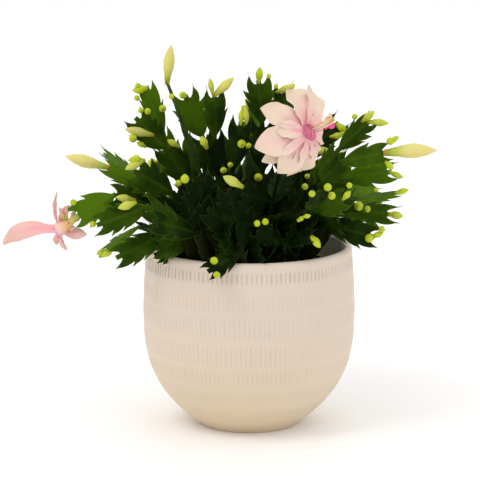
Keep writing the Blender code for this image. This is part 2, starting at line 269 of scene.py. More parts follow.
def root_place(root, middle, grown):
    """Where a shoot starts: just over the soil, or beside a joint of the shoot that bears it."""
    if isinstance(root[0], str):
        joints, axes = grown[root[0]]
        joint = joints[root[1]]
        face = axes[root[1] - 1][2]
        out = 1 if face.dot(middle - joint) > 0 else -1
        return joint + face * (out * BRANCH_STEP)
    return Vector((*root, soil_height(math.hypot(*root)) + GAP))


def grow_all():
    """Joints and segment axes of every shoot, by name."""
    grown = {}
    for name, root, middle, end, _, leans, _ in SHOOTS:
        middle, end = Vector(middle), Vector(end)
        joints = arch(root_place(root, middle, grown), middle, end)
        grown[name] = (joints, blade_axes(joints, leans))
    return grown


# ---------------------------------------------------------------- mesh building


class Body:
    """Gathers closed skins, in millimetres, and makes them one object.

    Each point carries a mark, three places on its skin that the material reads, and a trait,
    three numbers that are the same all over its skin."""

    def __init__(self):
        self.points, self.faces, self.marks, self.traits, self.kinds = [], [], [], [], []
        self.count = 0

    def skin(self, points, quads, triangles, marks, trait=(0.5, 0, 0), kind=0):
        """Add a closed skin, turned to face out."""
        halves = np.concatenate([triangles, quads[:, [0, 1, 2]], quads[:, [0, 2, 3]]])
        a, b, c = (points - points.mean(axis=0))[halves].transpose(1, 0, 2)
        if (a * np.cross(b, c)).sum() < 0:
            quads, triangles = quads[:, ::-1], triangles[:, ::-1]
        self.faces += (quads + self.count).tolist() + (triangles + self.count).tolist()
        self.kinds += [kind] * (len(quads) + len(triangles))
        self.points.append(points)
        self.marks.append(marks)
        self.traits.append(np.tile(np.array(trait, float), (len(points), 1)))
        self.count += len(points)

    def rings(self, grid, marks, trait=(0.5, 0, 0), kind=0):
        """Add a skin from rings of points: walls between the rings, and a fan on each end."""
        count, sides = grid.shape[:2]
        index = np.arange(count * sides).reshape(count, sides)
        beside = np.roll(index, -1, axis=1)
        walls = np.stack([index[:-1], beside[:-1], beside[1:], index[1:]], axis=-1).reshape(-1, 4)
        ends = (index[0][::-1], index[-1])
        fans = [(ring[0], ring[i + 1], ring[i + 2]) for ring in ends for i in range(sides - 2)]
        self.skin(grid.reshape(-1, 3), walls, np.array(fans), marks.reshape(-1, 3), trait, kind)

    def make(self, name, materials, smooth=50):
        data = bpy.data.meshes.new(name)
        data.from_pydata((np.concatenate(self.points) * METRE).tolist(), [], self.faces)
        for label, values in (("mark", self.marks), ("trait", self.traits)):
            attribute = data.attributes.new(label, "FLOAT_VECTOR", "POINT")
            attribute.data.foreach_set("vector", np.concatenate(values).astype(np.float32).ravel())
        data.polygons.foreach_set("material_index", self.kinds)
        for material in materials:
            data.materials.append(material)
        data.shade_smooth()
        data.set_sharp_from_angle(angle=math.radians(smooth))
        return new_object(name, data)


def new_object(name, data):
    made = bpy.data.objects.new(name, data)
    bpy.context.scene.collection.objects.link(made)
    return made


def turned(rows, sides):
    """Rings of points about the upright axis, from rows that start with a radius and a height."""
    turn = np.linspace(0, math.tau, sides, endpoint=False)
    radius, height = rows[:, :1], rows[:, 1:2]
    places = np.broadcast_arrays(radius * np.cos(turn), radius * np.sin(turn), height)
    return np.stack(places, axis=-1)


def declare(piece, slot, *nodes):
    """Put the piece on its body, and hide the CAD nodes that it stands for. The slot is not used.
    """
    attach(piece, BODY)
    if nodes:
        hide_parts(*nodes)
    return piece


# ---------------------------------------------------------------- node graphs


class Value:
    """A node's output socket. Arithmetic on it adds Math nodes to its graph."""

    def __init__(self, graph, socket):
        self.graph, self.socket = graph, socket

    def _math(self, operation, first, second=None):
        links = {0: first} if second is None else {0: first, 1: second}
        return self.graph.add("ShaderNodeMath", {"operation": operation}, links).out(0)

    def __add__(self, other):
        return self._math("ADD", self, other)

    def __radd__(self, other):
        return self._math("ADD", other, self)

    def __sub__(self, other):
        return self._math("SUBTRACT", self, other)

    def __rsub__(self, other):
        return self._math("SUBTRACT", other, self)

    def __mul__(self, other):
        return self._math("MULTIPLY", self, other)

    def __rmul__(self, other):
        return self._math("MULTIPLY", other, self)

    def __truediv__(self, other):
        return self._math("DIVIDE", self, other)

    def __abs__(self):
        return self._math("ABSOLUTE", self)

    def clamped(self):
        return self._math("MINIMUM", self._math("MAXIMUM", self, 0.0), 1.0)

    def sine(self):
        return self._math("SINE", self)


class Node:
    """One node of a graph, whose outputs are read by name or number."""

    def __init__(self, graph, node):
        self.graph, self.node = graph, node

    def out(self, which):
        return Value(self.graph, self.node.outputs[which])


class Graph:
    """A shader or geometry tree under construction."""

    def __init__(self, tree):
        self.tree = tree

    def add(self, kind, settings=None, links=None):
        """A node of a kind: its settings first, then a value or a link for each named socket."""
        node = self.tree.nodes.new(kind)
        for key, value in (settings or {}).items():
            if key == "stops":
                set_stops(node.color_ramp, value)
            else:
                setattr(node, key, value)
        for key, value in (links or {}).items():
            self.join(node.inputs[key], value)
        return Node(self, node)

    def join(self, socket, value):
        if isinstance(value, Value):
            self.tree.links.new(value.socket, socket)
        else:
            socket.default_value = value

    def mix(self, share, first, second):
        """A colour between two, by a share."""
        links = {0: share, 6: opaque(first), 7: opaque(second)}
        return self.add("ShaderNodeMix", {"data_type": "RGBA"}, links).out(2)

    def ramp(self, value, *stops):
        """A smooth step or curve of numbers: stops are (place, height) pairs."""
        colours = [(place, (height,) * 3) for place, height in stops]
        return self.add("ShaderNodeValToRGB", {"stops": colours}, {"Fac": value}).out("Color")

    def noise(self, place, scale, detail=2.0, rough=0.5):
        links = {"Vector": place, "Scale": scale, "Detail": detail, "Roughness": rough}
        return self.add("ShaderNodeTexNoise", {}, links).out("Fac")

    def stretched(self, place, scales):
        return self.add("ShaderNodeMapping", {}, {"Vector": place, "Scale": scales}).out(0)

    def vector(self, x=0.0, y=0.0, z=0.0):
        return self.add("ShaderNodeCombineXYZ", {}, {0: x, 1: y, 2: z}).out(0)

    def split(self, vector):
        """The three numbers of a vector."""
        parts = self.add("ShaderNodeSeparateXYZ", {}, {0: vector})
        return parts.out(0), parts.out(1), parts.out(2)

    def carried(self, name, kind="FLOAT_VECTOR"):
        """In a geometry tree, what each point carries under a name."""
        node = "GeometryNodeInputNamedAttribute"
        return self.add(node, {"data_type": kind}, {"Name": name}).out(0)

    def bump(self, height, depth, strength=1.0):
        links = {"Height": height, "Distance": depth, "Strength": strength}
        return self.add("ShaderNodeBump", {}, links).out(0)


def opaque(colour):
    return colour if isinstance(colour, Value) else (*colour[:3], 1.0)


def set_stops(ramp, stops):
    while len(ramp.elements) < len(stops):
        ramp.elements.new(1.0)
    for element, (place, colour) in zip(ramp.elements, stops):
        element.position = place
        element.color = opaque(colour)


class Finish(Graph):
    """A material under construction, with its Principled shader."""

    def __init__(self, name, **constants):
        self.material = bpy.data.materials.new(name)
        self.material.use_nodes = True
        super().__init__(self.material.node_tree)
        self.shader = self.tree.nodes["Principled BSDF"]
        self.set(**constants)
        self.place = self.add("ShaderNodeTexCoord").out("Object")

    def set(self, **sockets):
        """Set the shader's sockets, named in lower case with underscores."""
        for key, value in sockets.items():
            label = key.replace("_", " ").title().replace("Ior", "IOR")
            self.join(self.shader.inputs[label], value)
        return self

    def parts(self, name):
        """The three numbers that each point carries under a name."""
        return self.split(self.add("ShaderNodeAttribute", {"attribute_name": name}).out("Vector"))


# ---------------------------------------------------------------- stem segments

GRID = 2.1  # between the points inside a segment
RIM_HALF = 0.16  # half of a segment's thickness at its margin
SHOULDER = 0.72  # where a segment is widest, as a share of its length
LOBE_STEP = 0.036  # between the points of an outline, as a share of the length
FULL_CLAW_HALF = 10.5  # narrower segments than this have shorter claws


class Segment:
    """One flat stem segment: where it lies, its outline, and the places of its areoles."""

    def __init__(self, shoot, number, count, low, high, axes, width, basal):
        chance = random.Random(f"{shoot} {number}")
        shape = bpy.context.scene.cactus_stems
        self.low, self.high = low, high
        self.along, self.side, self.face = axes
        self.reach = (high - low).length
        self.half = width / 2 * (BASAL_WIDTH if basal and number == 0 else 1.0)
        self.age = (1 - number / max(1, count - 1)) if basal and count > 1 else 0.0
        self.tone = chance.random()
        self.bow = chance.uniform(-1.2, 1.2)
        self.cup = chance.uniform(-1.3, 1.6)
        self.wave = chance.uniform(0.2, 0.8)
        self.phase = chance.uniform(0, math.tau)
        self.areoles = [(self.reach, 0.0)]
        wedge = chance.uniform(0.62, 0.95)
        edges = []
        for way in (1, -1):
            teeth = chance.choice((1, 2, 2)) if self.reach < 38 else 2
            depth = shape.notch_depth * chance.uniform(0.7, 1.25)
            claw = shape.claw_length / METRE / self.reach * chance.uniform(0.55, 1.15)
            claw *= min(1.0, (self.half / FULL_CLAW_HALF) ** 1.4)
            edges.append(self.half_outline(chance, way, teeth, wedge, depth, claw))
        self.outline = np.array(edges[0] + edges[1][::-1])

    def belly(self, place, wedge):
        """The half width at a place along the segment, as a share of the fullest."""
        if place < SHOULDER:
            return math.sin(math.pi / 2 * max(place, 0.0) / SHOULDER) ** wedge
        return 1 - 0.16 * ((place - SHOULDER) / (1 - SHOULDER)) ** 2

    def half_outline(self, chance, way, teeth, wedge, depth, claw):
        """One side's outline from neck to neck, in millimetres: swelling, then hooked forward."""
        neck = NECK_HALF / self.half
        line = [(-0.04, neck), (0.02, neck)]
        pitch = 0.66 / (teeth + 0.7)
        places = [1 - pitch * (teeth - k) + chance.uniform(-0.03, 0.03) for k in range(teeth)]
        start, cut = 0.02, 0.0
        for place in places + [1 + claw * 0.5]:
            count = max(3, round((place - start) / LOBE_STEP))
            for along in steps(start, place, count)[1:]:
                share = (along - start) / (place - start)
                across = self.belly(along, wedge) * (1 - cut * max(0.0, 1 - share) ** 1.7)
                line.append((along, max(across, neck)))
            if place < 1:
                cut = depth * chance.uniform(0.75, 1.25)
                start = place + 0.014
                line.append((place + 0.10, self.belly(place, wedge) * 1.12))
                line.append((start, self.belly(place, wedge) * (1 - cut)))
                self.areoles.append((start * self.reach, way * line[-1][1] * self.half))
        horn = self.belly(1, wedge) * 0.84
        line.append((1 + claw, horn))
        line += [(1 + claw * 0.42, horn * 0.80), (1 + claw * 0.05, horn * 0.62)]
        line += [(0.955, horn * 0.42), (0.95, max(neck, horn * 0.24)), (1.045, neck)]
        return [(along * self.reach, way * across * self.half) for along, across in line]

    def lift(self, along, across):
        """How far the middle of the thickness stands off the flat: bow, cup and wavy margin."""
        share, out = along / self.reach, across / self.half
        wave = self.wave * np.sin(share * 9 + self.phase + out) * np.abs(out) ** 1.5
        curl = 0.05 * np.maximum(along - self.reach, 0.0) ** 1.5
        flat = np.clip(share * (1 - share) * 4, 0, 1)
        return self.bow * flat + self.cup * out**2 * np.clip(share * 3, 0, 1) + wave * flat + curl

    def spot(self, along, across, off=0.0):
        """The place in space of a point of the segment."""
        height = float(self.lift(along, across)) + off
        return self.low + self.along * along + self.side * across + self.face * height

    def add_to(self, body):
        """Fill the outline with triangles, and thicken it: thin margin, ribbed middle."""
        points = self.inner_points()
        count = len(self.outline)
        flat, _, faces, _, _, _ = delaunay_2d_cdt(
            [Vector(p) for p in points], [], [list(range(count))], 1, 1e-5
        )
        flat, faces = np.array(flat), np.array(faces)
        depth = clearance(flat, self.outline)
        along, across = flat.T
        plump = np.sqrt(1 - (1 - np.clip(depth / 5.5, 0, 1)) ** 2)
        rib = np.exp(-((across / 1.8) ** 2)) * np.clip(depth, 0, 1)
        thick = RIM_HALF + 0.85 * plump + 0.45 * rib * (1.15 - 0.5 * along / self.reach)
        middle = np.array(self.low) + np.outer(along, self.along) + np.outer(across, self.side)
        lift = self.lift(along, across)
        top = middle + np.outer(lift + thick, self.face)
        bottom = middle + np.outer(lift - thick * 0.85, self.face)
        size = len(flat)
        sides = rim_edges(faces)
        walls = np.stack([sides[:, 1], sides[:, 0], sides[:, 0] + size, sides[:, 1] + size], axis=1)
        skins = np.concatenate([faces, faces[:, ::-1] + size])
        marks = np.stack([across / self.half, along / self.reach, np.clip(depth / 4, 0, 1)], axis=1)
        body.skin(np.concatenate([bottom, top]), walls, skins, np.tile(marks, (2, 1)), self.trait())

    def trait(self):
        """Its tone, lifted on the right by painted light, its age, and how far it stands out of the
        painted shade in the plant's heart.
        """
        away = self.low.lerp(self.high, 0.6) - HEART
        # painted light: segments to the right of the heart have their tone lifted
        tone = self.tone + 0.4 * between(away.x, *PAINTED_LIGHT_SIDE) * (1 - self.tone)
        reach = Vector((away.x, away.y * 0.8, away.z * 0.55)).length
        return tone, self.age, between(reach, *PAINTED_SHADE_RADII)

    def inner_points(self):
        """The outline, then a grid of points inside it."""
        rows = np.arange(0.6, self.reach * 1.2, GRID * 0.87)
        most = round(self.half * 1.2 / GRID)
        columns = np.arange(-most, most + 1)
        grid = np.array([
            (row, (column + 0.5 * (i % 2)) * GRID)
            for i, row in enumerate(rows) for column in columns
        ])
        keep = inside(grid, self.outline) & (clearance(grid, self.outline) > GRID * 0.38)
        return np.concatenate([self.outline, grid[keep]]).tolist()


def inside(points, outline):
    """Which points lie inside a closed outline."""
    a, b = outline, np.roll(outline, -1, axis=0)
    x, y = points[:, :1], points[:, 1:]
    spans = (a[:, 1] > y) != (b[:, 1] > y)
    rise = np.where(b[:, 1] == a[:, 1], 1e-9, b[:, 1] - a[:, 1])
    crossing = a[:, 0] + (y - a[:, 1]) * (b[:, 0] - a[:, 0]) / rise
    return (spans & (x < crossing)).sum(axis=1) % 2 == 1


def clearance(points, outline):
    """Each point's distance to a closed outline."""
    a = outline[None]
    run = np.roll(outline, -1, axis=0)[None] - a
    offset = points[:, None] - a
    share = np.clip((offset * run).sum(-1) / np.maximum((run**2).sum(-1), 1e-12), 0, 1)
    return np.sqrt(((offset - run * share[..., None]) ** 2).sum(-1)).min(axis=1)


def rim_edges(faces):
    """The directed edges that only one triangle has."""
    edges = np.concatenate([faces[:, [0, 1]], faces[:, [1, 2]], faces[:, [2, 0]]])
    seen = {tuple(edge) for edge in edges.tolist()}
    return np.array([edge for edge in edges.tolist() if (edge[1], edge[0]) not in seen])


def in_crown(place):
    """Whether a side segment may end at a place without leaving the plant's outline."""
    x, y, z = place
    out = math.hypot(x, y)
    low = 140 if x < 38 else 152  # the foliage hangs lower on the left
    if out < 62 and x < 22:
        low = 122
    if y > 40:  # behind the middle, a dome
        return out < 106 and low < z < 205 - 0.003 * x * x
    return ((x - 12) / 80) ** 2 + ((z - 140) / 56) ** 2 < 1 and -80 < y and z > low


def side_segments(name, joints, axes, width):
    """Side branches of one segment, which fill the middle of the plant."""
    chance = random.Random("side " + name)
    made = []

    def branch_out(place, heading, least, most, wide):
        heading.normalize()
        high = place + heading * chance.uniform(least, most)
        if in_crown(high):
            across = heading.cross(Vector((0, -1, 0.2))).normalized()
            across = Matrix.Rotation(math.radians(chance.uniform(-50, 50)), 3, heading) @ across
            trio = (heading, across, across.cross(heading))
            made.append(Segment(f"{name} side", len(made), 1, place, high, trio, wide, False))

    if joints[0].y < -10 and len(joints) > 2:  # shoots at the front also branch over the soil
        for _ in range(3):
            place = joints[0].lerp(joints[1], chance.uniform(0.35, 0.95))
            aside = chance.uniform(-0.9, 0.9) + place.x / 60
            out = Vector((aside, chance.uniform(-1, -0.4), chance.uniform(-0.15, 0.5)))
            branch_out(place, out, 22, 30, width * chance.uniform(0.9, 1.15))
    for number in range(1, len(joints) - 1):
        along, side, face = axes[number - 1]
        for way in chance.sample((1, -1), chance.choice((1, 2, 2))):
            heading = along * chance.uniform(0.3, 0.9) + side * (way * chance.uniform(0.5, 1.0))
            heading += face * chance.uniform(-0.9, 0.9) + Vector((0, 0, chance.uniform(-0.1, 0.5)))
            branch_out(joints[number], heading, 25, 34, width * chance.uniform(0.85, 1.1))
    return made


@lru_cache
def surface():
    """Points all over the plant's segments, and where the eye sees each on the middle plane."""
    points = [
        segment.spot(along, across, 0.8)
        for shoot in plant().values() for segment in itertools.chain(*shoot)
        for along, across in segment.inner_points()
    ]
    points = np.array(points)
    eye = np.array(EYE)
    share = -eye[1] / (points[:, 1] - eye[1])
    return points, eye + (points - eye) * share[:, None]


def seat(aside, up):
    """The frontmost point of the plant where the eye sees a place, or else the nearest to it."""
    points, seen = surface()
    apart = np.hypot(seen[:, 0] - aside, seen[:, 2] - up)
    if apart.min() < 3:
        return Vector(points[np.where(apart < 3, points[:, 1], np.inf).argmin()])
    return Vector(points[apart.argmin()])


@lru_cache
def plant():
    """Every shoot's own segments and its side segments, by name."""
    segments = {}
    for (name, (joints, axes)), row in zip(grow_all().items(), SHOOTS):
        basal = not isinstance(row[1][0], str)
        own = [
            Segment(name, i, len(axes), low, high, axes[i], row[4], basal)
            for i, (low, high) in enumerate(zip(joints, joints[1:]))
        ]
        segments[name] = (own, side_segments(name, joints, axes, row[4]))
    return segments


# ---------------------------------------------------------------- buds


BUD_SUNK = 1.2  # how far a bud's base goes into its segment

# Widths along a shape, as places from its base to its tip and the width at each.
BUD_SHAPE = (
    (0.0, 0.12, 0.26, 0.44, 0.58, 0.74, 0.87, 0.95, 1.0),
    (0.34, 0.44, 0.60, 0.90, 1.0, 0.84, 0.54, 0.26, 0.03),
)
EGG_SHAPE = ((0.0, 0.12, 0.32, 0.52, 0.72, 0.88, 1.0), (0.34, 0.62, 0.96, 1.0, 0.80, 0.44, 0.04))


def bud_grid(base, tip, radius, shape, rings, sides, whorls, bend=0.0):
    """Rings of a bud of overlapping scales, each whorl's scales pointed between those below."""
    base, tip = Vector(base), Vector(tip)
    along = (tip - base).normalized()
    side = along.orthogonal().normalized()
    face = along.cross(side)
    turn = np.linspace(0, math.tau, sides, endpoint=False)[None]
    place = (1 - np.cos(np.linspace(0, math.pi, rings)))[:, None] / 2
    wide = np.interp(place, *shape) * radius * np.ones_like(turn)
    for number in range(whorls):  # the width steps down past each whorl's scalloped border
        points = 0.10 * np.abs(np.cos(turn * 2 + number * 0.8))
        border = 0.16 + 0.62 * number / max(1, whorls - 1) + points
        wide *= 1 + 0.075 * (1 / (1 + np.exp((place - border) * 60)) - 0.5)
    wide = np.maximum(wide, 0.03)
    line = np.array(base) + place[..., None] * np.array(tip - base)
    line = line + (np.sin(place * math.pi) * bend)[..., None] * np.array(side)
    ring = np.cos(turn)[..., None] * np.array(side) + np.sin(turn)[..., None] * np.array(face)
    grid = line + ring * wide[..., None]
    marks = np.stack(np.broadcast_arrays(np.cos(turn), place, np.sin(turn)), axis=-1)
    return grid, marks


# ---------------------------------------------------------------- what repeats


def new_tree(name, inputs):
    """An empty geometry tree with named inputs, its graph, and the node that gives the inputs."""
    tree = bpy.data.node_groups.new(name, "GeometryNodeTree")
    tree.is_modifier = True
    for label, kind in inputs.items():
        tree.interface.new_socket(label, in_out="INPUT", socket_type=f"NodeSocket{kind}")
    tree.interface.new_socket("Result", in_out="OUTPUT", socket_type="NodeSocketGeometry")
    graph = Graph(tree)
    return tree, graph, graph.add("NodeGroupInput")


def end_tree(graph, geometry, material):
    """Realise the instances, give them their material, and put the result out."""
    real = graph.add("GeometryNodeRealizeInstances", {}, {"Geometry": geometry}).out(0)
    real = graph.add("GeometryNodeSetShadeSmooth", {}, {0: real}).out(0)
    real = graph.add("GeometryNodeSetMaterial", {}, {"Geometry": real, "Material": material}).out(0)
    graph.add("NodeGroupOutput", {}, {"Result": real})


def scatter_tree():
    """A shape set on each point, facing the point's own way, turned and sized by chance."""
    tree, graph, given = new_tree("scatter", {
        "Points": "Geometry", "Shape": "Object", "Least": "Float", "Most": "Float",
        "Seed": "Int", "Material": "Material",
    })

    def chance(least, most):
        links = {2: least, 3: most, "Seed": given.out("Seed")}
        return graph.add("FunctionNodeRandomValue", {"data_type": "FLOAT"}, links).out(1)

    way, size = graph.carried("way"), graph.carried("size", "FLOAT")
    facing = graph.add("FunctionNodeAlignRotationToVector", {"axis": "Z"}, {"Vector": way}).out(0)
    angle = {"Axis": (0, 0, 1), "Angle": chance(0.0, math.tau)}
    spin = graph.add("FunctionNodeAxisAngleToRotation", {}, angle).out(0)
    local = {"rotation_space": "LOCAL"}
    spun = graph.add("FunctionNodeRotateRotation", local, {0: facing, 1: spin}).out(0)
    shape = graph.add("GeometryNodeObjectInfo", {}, {"Object": given.out("Shape")})
    placed = graph.add("GeometryNodeInstanceOnPoints", {}, {
        "Points": given.out("Points"), "Instance": shape.out("Geometry"),
        "Rotation": spun, "Scale": chance(given.out("Least"), given.out("Most")) * size,
    })
    end_tree(graph, placed.out(0), given.out("Material"))
    return tree


def strand_tree():
    """A round strand along each line of edges."""
    tree, graph, given = new_tree("strands", {
        "Lines": "Geometry", "Radius": "Float", "Sides": "Int", "Material": "Material",
    })
    curve = graph.add("GeometryNodeMeshToCurve", {}, {0: given.out("Lines")})
    ring = graph.add("GeometryNodeCurvePrimitiveCircle", {"mode": "RADIUS"},
                     {"Radius": given.out("Radius"), "Resolution": given.out("Sides")})
    tube = graph.add("GeometryNodeCurveToMesh", {}, {
        "Curve": curve.out(0), "Profile Curve": ring.out(0), "Fill Caps": True,
    })
    end_tree(graph, tube.out(0), given.out("Material"))
    return tree


def run_tree(name, source, tree, **inputs):
    """Run a tree on a mesh, and keep what it makes as a plain object."""
    holder = new_object("source", source)
    modifier = holder.modifiers.new("tree", "NODES")
    modifier.node_group = tree
    for item in tree.interface.items_tree:
        if item.in_out == "INPUT" and item.name.lower() in inputs:
            modifier[item.identifier] = inputs[item.name.lower()]
    depsgraph = bpy.context.evaluated_depsgraph_get()
    data = bpy.data.meshes.new_from_object(holder.evaluated_get(depsgraph))
    data.name = name
    bpy.data.objects.remove(holder, do_unlink=True)
    if not data.polygons:
        raise RuntimeError(f"{name} came out empty")
    return new_object(name, data)


def rework(name, body, tree, **inputs):
    """Run a tree on a body's skins."""
    rough = body.make("rough", [])
    made = run_tree(name, rough.data.copy(), tree, **inputs)
    bpy.data.objects.remove(rough, do_unlink=True)
    return made


def point_mesh(spots):
    """Points that carry a way, a size and a trait, from (place, way, size, tone) rows."""
    places, ways, sizes, tones = zip(*spots)
    data = bpy.data.meshes.new("points")
    data.from_pydata([tuple(Vector(place) * METRE) for place in places], [], [])
    for label, kind, key, values in (
        ("way", "FLOAT_VECTOR", "vector", [tuple(Vector(way).normalized()) for way in ways]),
        ("size", "FLOAT", "value", sizes),
        ("trait", "FLOAT_VECTOR", "vector", [(tone, 0.0, 0.0) for tone in tones]),
    ):
        attribute = data.attributes.new(label, kind, "POINT")
        attribute.data.foreach_set(key, np.array(values, dtype=np.float32).ravel())
    return data


def line_mesh(lines):
    """Edges along lines of places."""
    points, edges = [], []
    for line in lines:
        edges += [(len(points) + i, len(points) + i + 1) for i in range(len(line) - 1)]
        points += [tuple(Vector(place) * METRE) for place in line]
    data = bpy.data.meshes.new("lines")
    data.from_pydata(points, edges, [])
    return data


def scatter(name, shape, spots, material, least, most, seed):
    """Set a shape's copies on spots, as one plain object."""
    made = run_tree(
        name, point_mesh(spots), scatter_tree(),
        shape=shape, least=least, most=most, seed=seed, material=material,
    )
    bpy.data.objects.remove(shape, do_unlink=True)
    return made


# ---------------------------------------------------------------- finishes

RUST = (0.38, 0.17, 0.03)
OLD_WOOD, WOOD_CRACK = (0.030, 0.030, 0.010), (0.010, 0.018, 0.005)
HAIR_STRAW, HAIR_RUST = (0.20, 0.16, 0.06), (0.12, 0.06, 0.02)
BLUSH = (0.84, 0.40, 0.38)
TUBE_GREEN, TUBE_ORANGE = (0.36, 0.42, 0.04), (0.82, 0.48, 0.20)
SPECK = (0.36, 0.30, 0.22)
PEAT, PEAT_LIT = (0.022, 0.015, 0.010), (0.075, 0.050, 0.030)
CRUMB, CRUMB_LIT = (0.03, 0.02, 0.013), (0.12, 0.08, 0.045)
FIBRE = (0.22, 0.16, 0.09)
THREAD_CREAM, THREAD_ROSE = (0.90, 0.80, 0.60), (0.92, 0.66, 0.55)
POLLEN, POLLEN_RUST = (0.85, 0.66, 0.24), (0.70, 0.42, 0.16)
STYLE_DEEP, STYLE_PALE = (0.78, 0.05, 0.27), (0.88, 0.12, 0.36)


def stem_finish():
    """Waxy green skin, paler on its margins and ribs, with woody oldest segments; painted shade
    darkens the plant's heart and painted light lightens its right.
    """
    look = bpy.context.scene.cactus_stems
    skin = Finish("stem_green", specular_ior_level=0.035)
    across, along, edge = skin.parts("mark")
    tone, age, outer = skin.parts("trait")
    broad = skin.noise(skin.place, 45.0, 3.0)
    fine = skin.noise(skin.place, 420.0, 3.0, 0.6)
    patch = skin.ramp(broad, (0.38, 0.0), (0.64, 1.0))
    # painted shade: segments in the plant's heart mix towards the near-black green, whatever their
    # tone
    share = (outer * (tone * 1.25 + 0.10) + patch * 0.34 - 0.25).clamped()
    leaf = skin.mix(share, look.dark_and_painted_shade_green, look.green)
    leaf = skin.mix((1 - edge * 4.2).clamped() * (0.06 + outer * 0.34), leaf, look.margin_green)
    rib = skin.ramp(abs(across), (0.0, 1.0), (0.16, 0.0))
    leaf = skin.mix(rib * edge * (0.03 + outer * 0.15), leaf, look.margin_green)
    tint = skin.ramp(along, (0.2, 0.0), (1.0, 0.16))
    leaf = skin.mix(tint * outer, leaf, look.green)
    wood = skin.mix(fine, OLD_WOOD, WOOD_CRACK)
    leaf = skin.mix((age * 1.2 - 0.45 + broad * 0.3).clamped() * age, leaf, wood)
    height = fine * 0.2 + broad * 0.9 + rib * 0.2
    return skin.set(
        base_color=leaf, roughness=0.42 + fine * 0.16 + age * 0.2,
        normal=skin.bump(height, 0.0006, 0.5),
    ).material


def bud_finish():
    """Buds: rusty at the areole, lime at the base, and paling to a cream and rosy tip."""
    look = bpy.context.scene.cactus_buds
    skin = Finish("bud_lime", specular_ior_level=0.25)
    turn, along, _ = skin.parts("mark")
    tone, ripe, _ = skin.parts("trait")
    mottle = skin.noise(skin.place, 220.0, 3.0)
    shift = along + (mottle - 0.5) * 0.16
    young = skin.mix(skin.ramp(shift, (0.05, 0.0), (0.55, 1.0)), look.lime, look.young_tip)
    old = skin.mix(skin.ramp(shift, (0.10, 0.0), (0.42, 1.0)), look.lime, look.cream)
    old = skin.mix(skin.ramp(shift, (0.84, 0.0), (1.0, 0.6)), old, look.tip)
    petal = skin.mix(ripe, young, old)
    petal = skin.mix((tone - 0.5).clamped() * 0.5, petal, look.lime)
    rust = skin.ramp(along + (mottle - 0.5) * 0.08, (0.04, 1.0), (0.16, 0.0))
    petal = skin.mix(rust * 0.7, petal, RUST)
    ribs = abs((turn * 9.0).sine()) * 0.5
    height = ribs + mottle * 0.5
    return skin.set(
        base_color=petal, roughness=0.36 + mottle * 0.18, normal=skin.bump(height, 0.0004, 0.35)
    ).material


def bristle_finish():
    """Short hairs of the areoles, straw to rust."""
    hair = Finish("areole_bristle")
    tone, _, _ = hair.parts("trait")
    grain = hair.noise(hair.place, 900.0, 2.0)
    colour = hair.mix((tone * 0.6 + grain * 0.4).clamped(), HAIR_STRAW, HAIR_RUST)
    return hair.set(base_color=colour, roughness=0.6 + grain * 0.2).material


def petal_finish():
    """Silky petals: rose along the middle and the foot, cream towards the margin, finely veined."""
    look = bpy.context.scene.cactus_flowers
    silk = Finish("petal_silk", sheen_weight=0.15, specular_ior_level=0.3)
    across, along, _ = silk.parts("mark")
    tone, blush_and_shade, pinker = silk.parts("trait")
    uneven = silk.noise(silk.place, 70.0, 3.0)
    veins = silk.noise(silk.vector(across * 16.0, along * 1.6, tone * 9.0), 1.6, 3.0, 0.6)
    cream = (uneven * 1.1 + tone * 0.25 - 0.15).clamped()
    body = silk.mix(cream, look.petal, look.petal_cream)
    straw = (silk.ramp(along, (0.50, 0.0), (1.0, 0.75)) * uneven * 1.5).clamped()
    body = silk.mix(straw, body, look.petal_tip)
    foot = silk.ramp(along + (veins - 0.5) * 0.3, (0.0, 1.0), (0.18, 0.8), (0.50, 0.0))
    middle = silk.ramp(abs(across) + (uneven - 0.5) * 0.5, (0.05, 1.0), (0.45, 0.0))
    streak = silk.ramp(along, (0.0, 1.0), (0.35, 0.85), (0.75, 0.0))
    body = silk.mix(pinker * 0.5, body, BLUSH)
    body = silk.mix((foot * 0.62).clamped(), body, look.rose)
    # the rose streak is stronger on the lower petals: partly blush, partly painted shade
    body = silk.mix((middle * streak * blush_and_shade * 0.9).clamped(), body, look.rose)
    body = silk.mix(silk.ramp(veins, (0.52, 0.0), (0.75, 0.28)), body, look.rose)
    height = veins * 0.7 + uneven * 0.4
    return silk.set(
        base_color=body, roughness=0.42 + uneven * 0.2, normal=silk.bump(height, 0.0006, 0.5)
    ).material


def throat_finish():
    """The flower's tube: green at the stem, then orange and rose, and magenta in the mouth."""
    look = bpy.context.scene.cactus_flowers
    silk = Finish("throat_magenta")
    turn, along, inner = silk.parts("mark")
    stripes = silk.noise(silk.vector(turn * 7.0, along * 1.5), 2.2, 2.0)
    outside = silk.mix(silk.ramp(along, (0.12, 0.0), (0.45, 1.0)), TUBE_GREEN, TUBE_ORANGE)
    outside = silk.mix(silk.ramp(along, (0.50, 0.0), (0.66, 1.0)), outside, look.petal)
    outside = silk.mix(silk.ramp(inner, (0.1, 0.0), (0.4, 1.0)), outside, look.throat)
    ringed = silk.ramp(inner, (0.0, 0.0), (0.10, 0.7), (0.20, 1.0), (0.42, 0.12), (1.0, 0.4))
    colour = silk.mix(ringed, outside, look.magenta)
    return silk.set(
        base_color=colour, roughness=0.4 + stripes * 0.2, normal=silk.bump(stripes, 0.0005, 0.4)
    ).material


def stamen_finish(name, first, second):
    """Threads and heads, shaded between two colours."""
    thread = Finish(name)
    grain = thread.noise(thread.place, 350.0, 3.0)
    colour = thread.mix(thread.ramp(grain, (0.35, 0.0), (0.65, 1.0)), first, second)
    return thread.set(
        base_color=colour, roughness=0.45 + grain * 0.2, normal=thread.bump(grain, 0.0003, 0.4)
    ).material


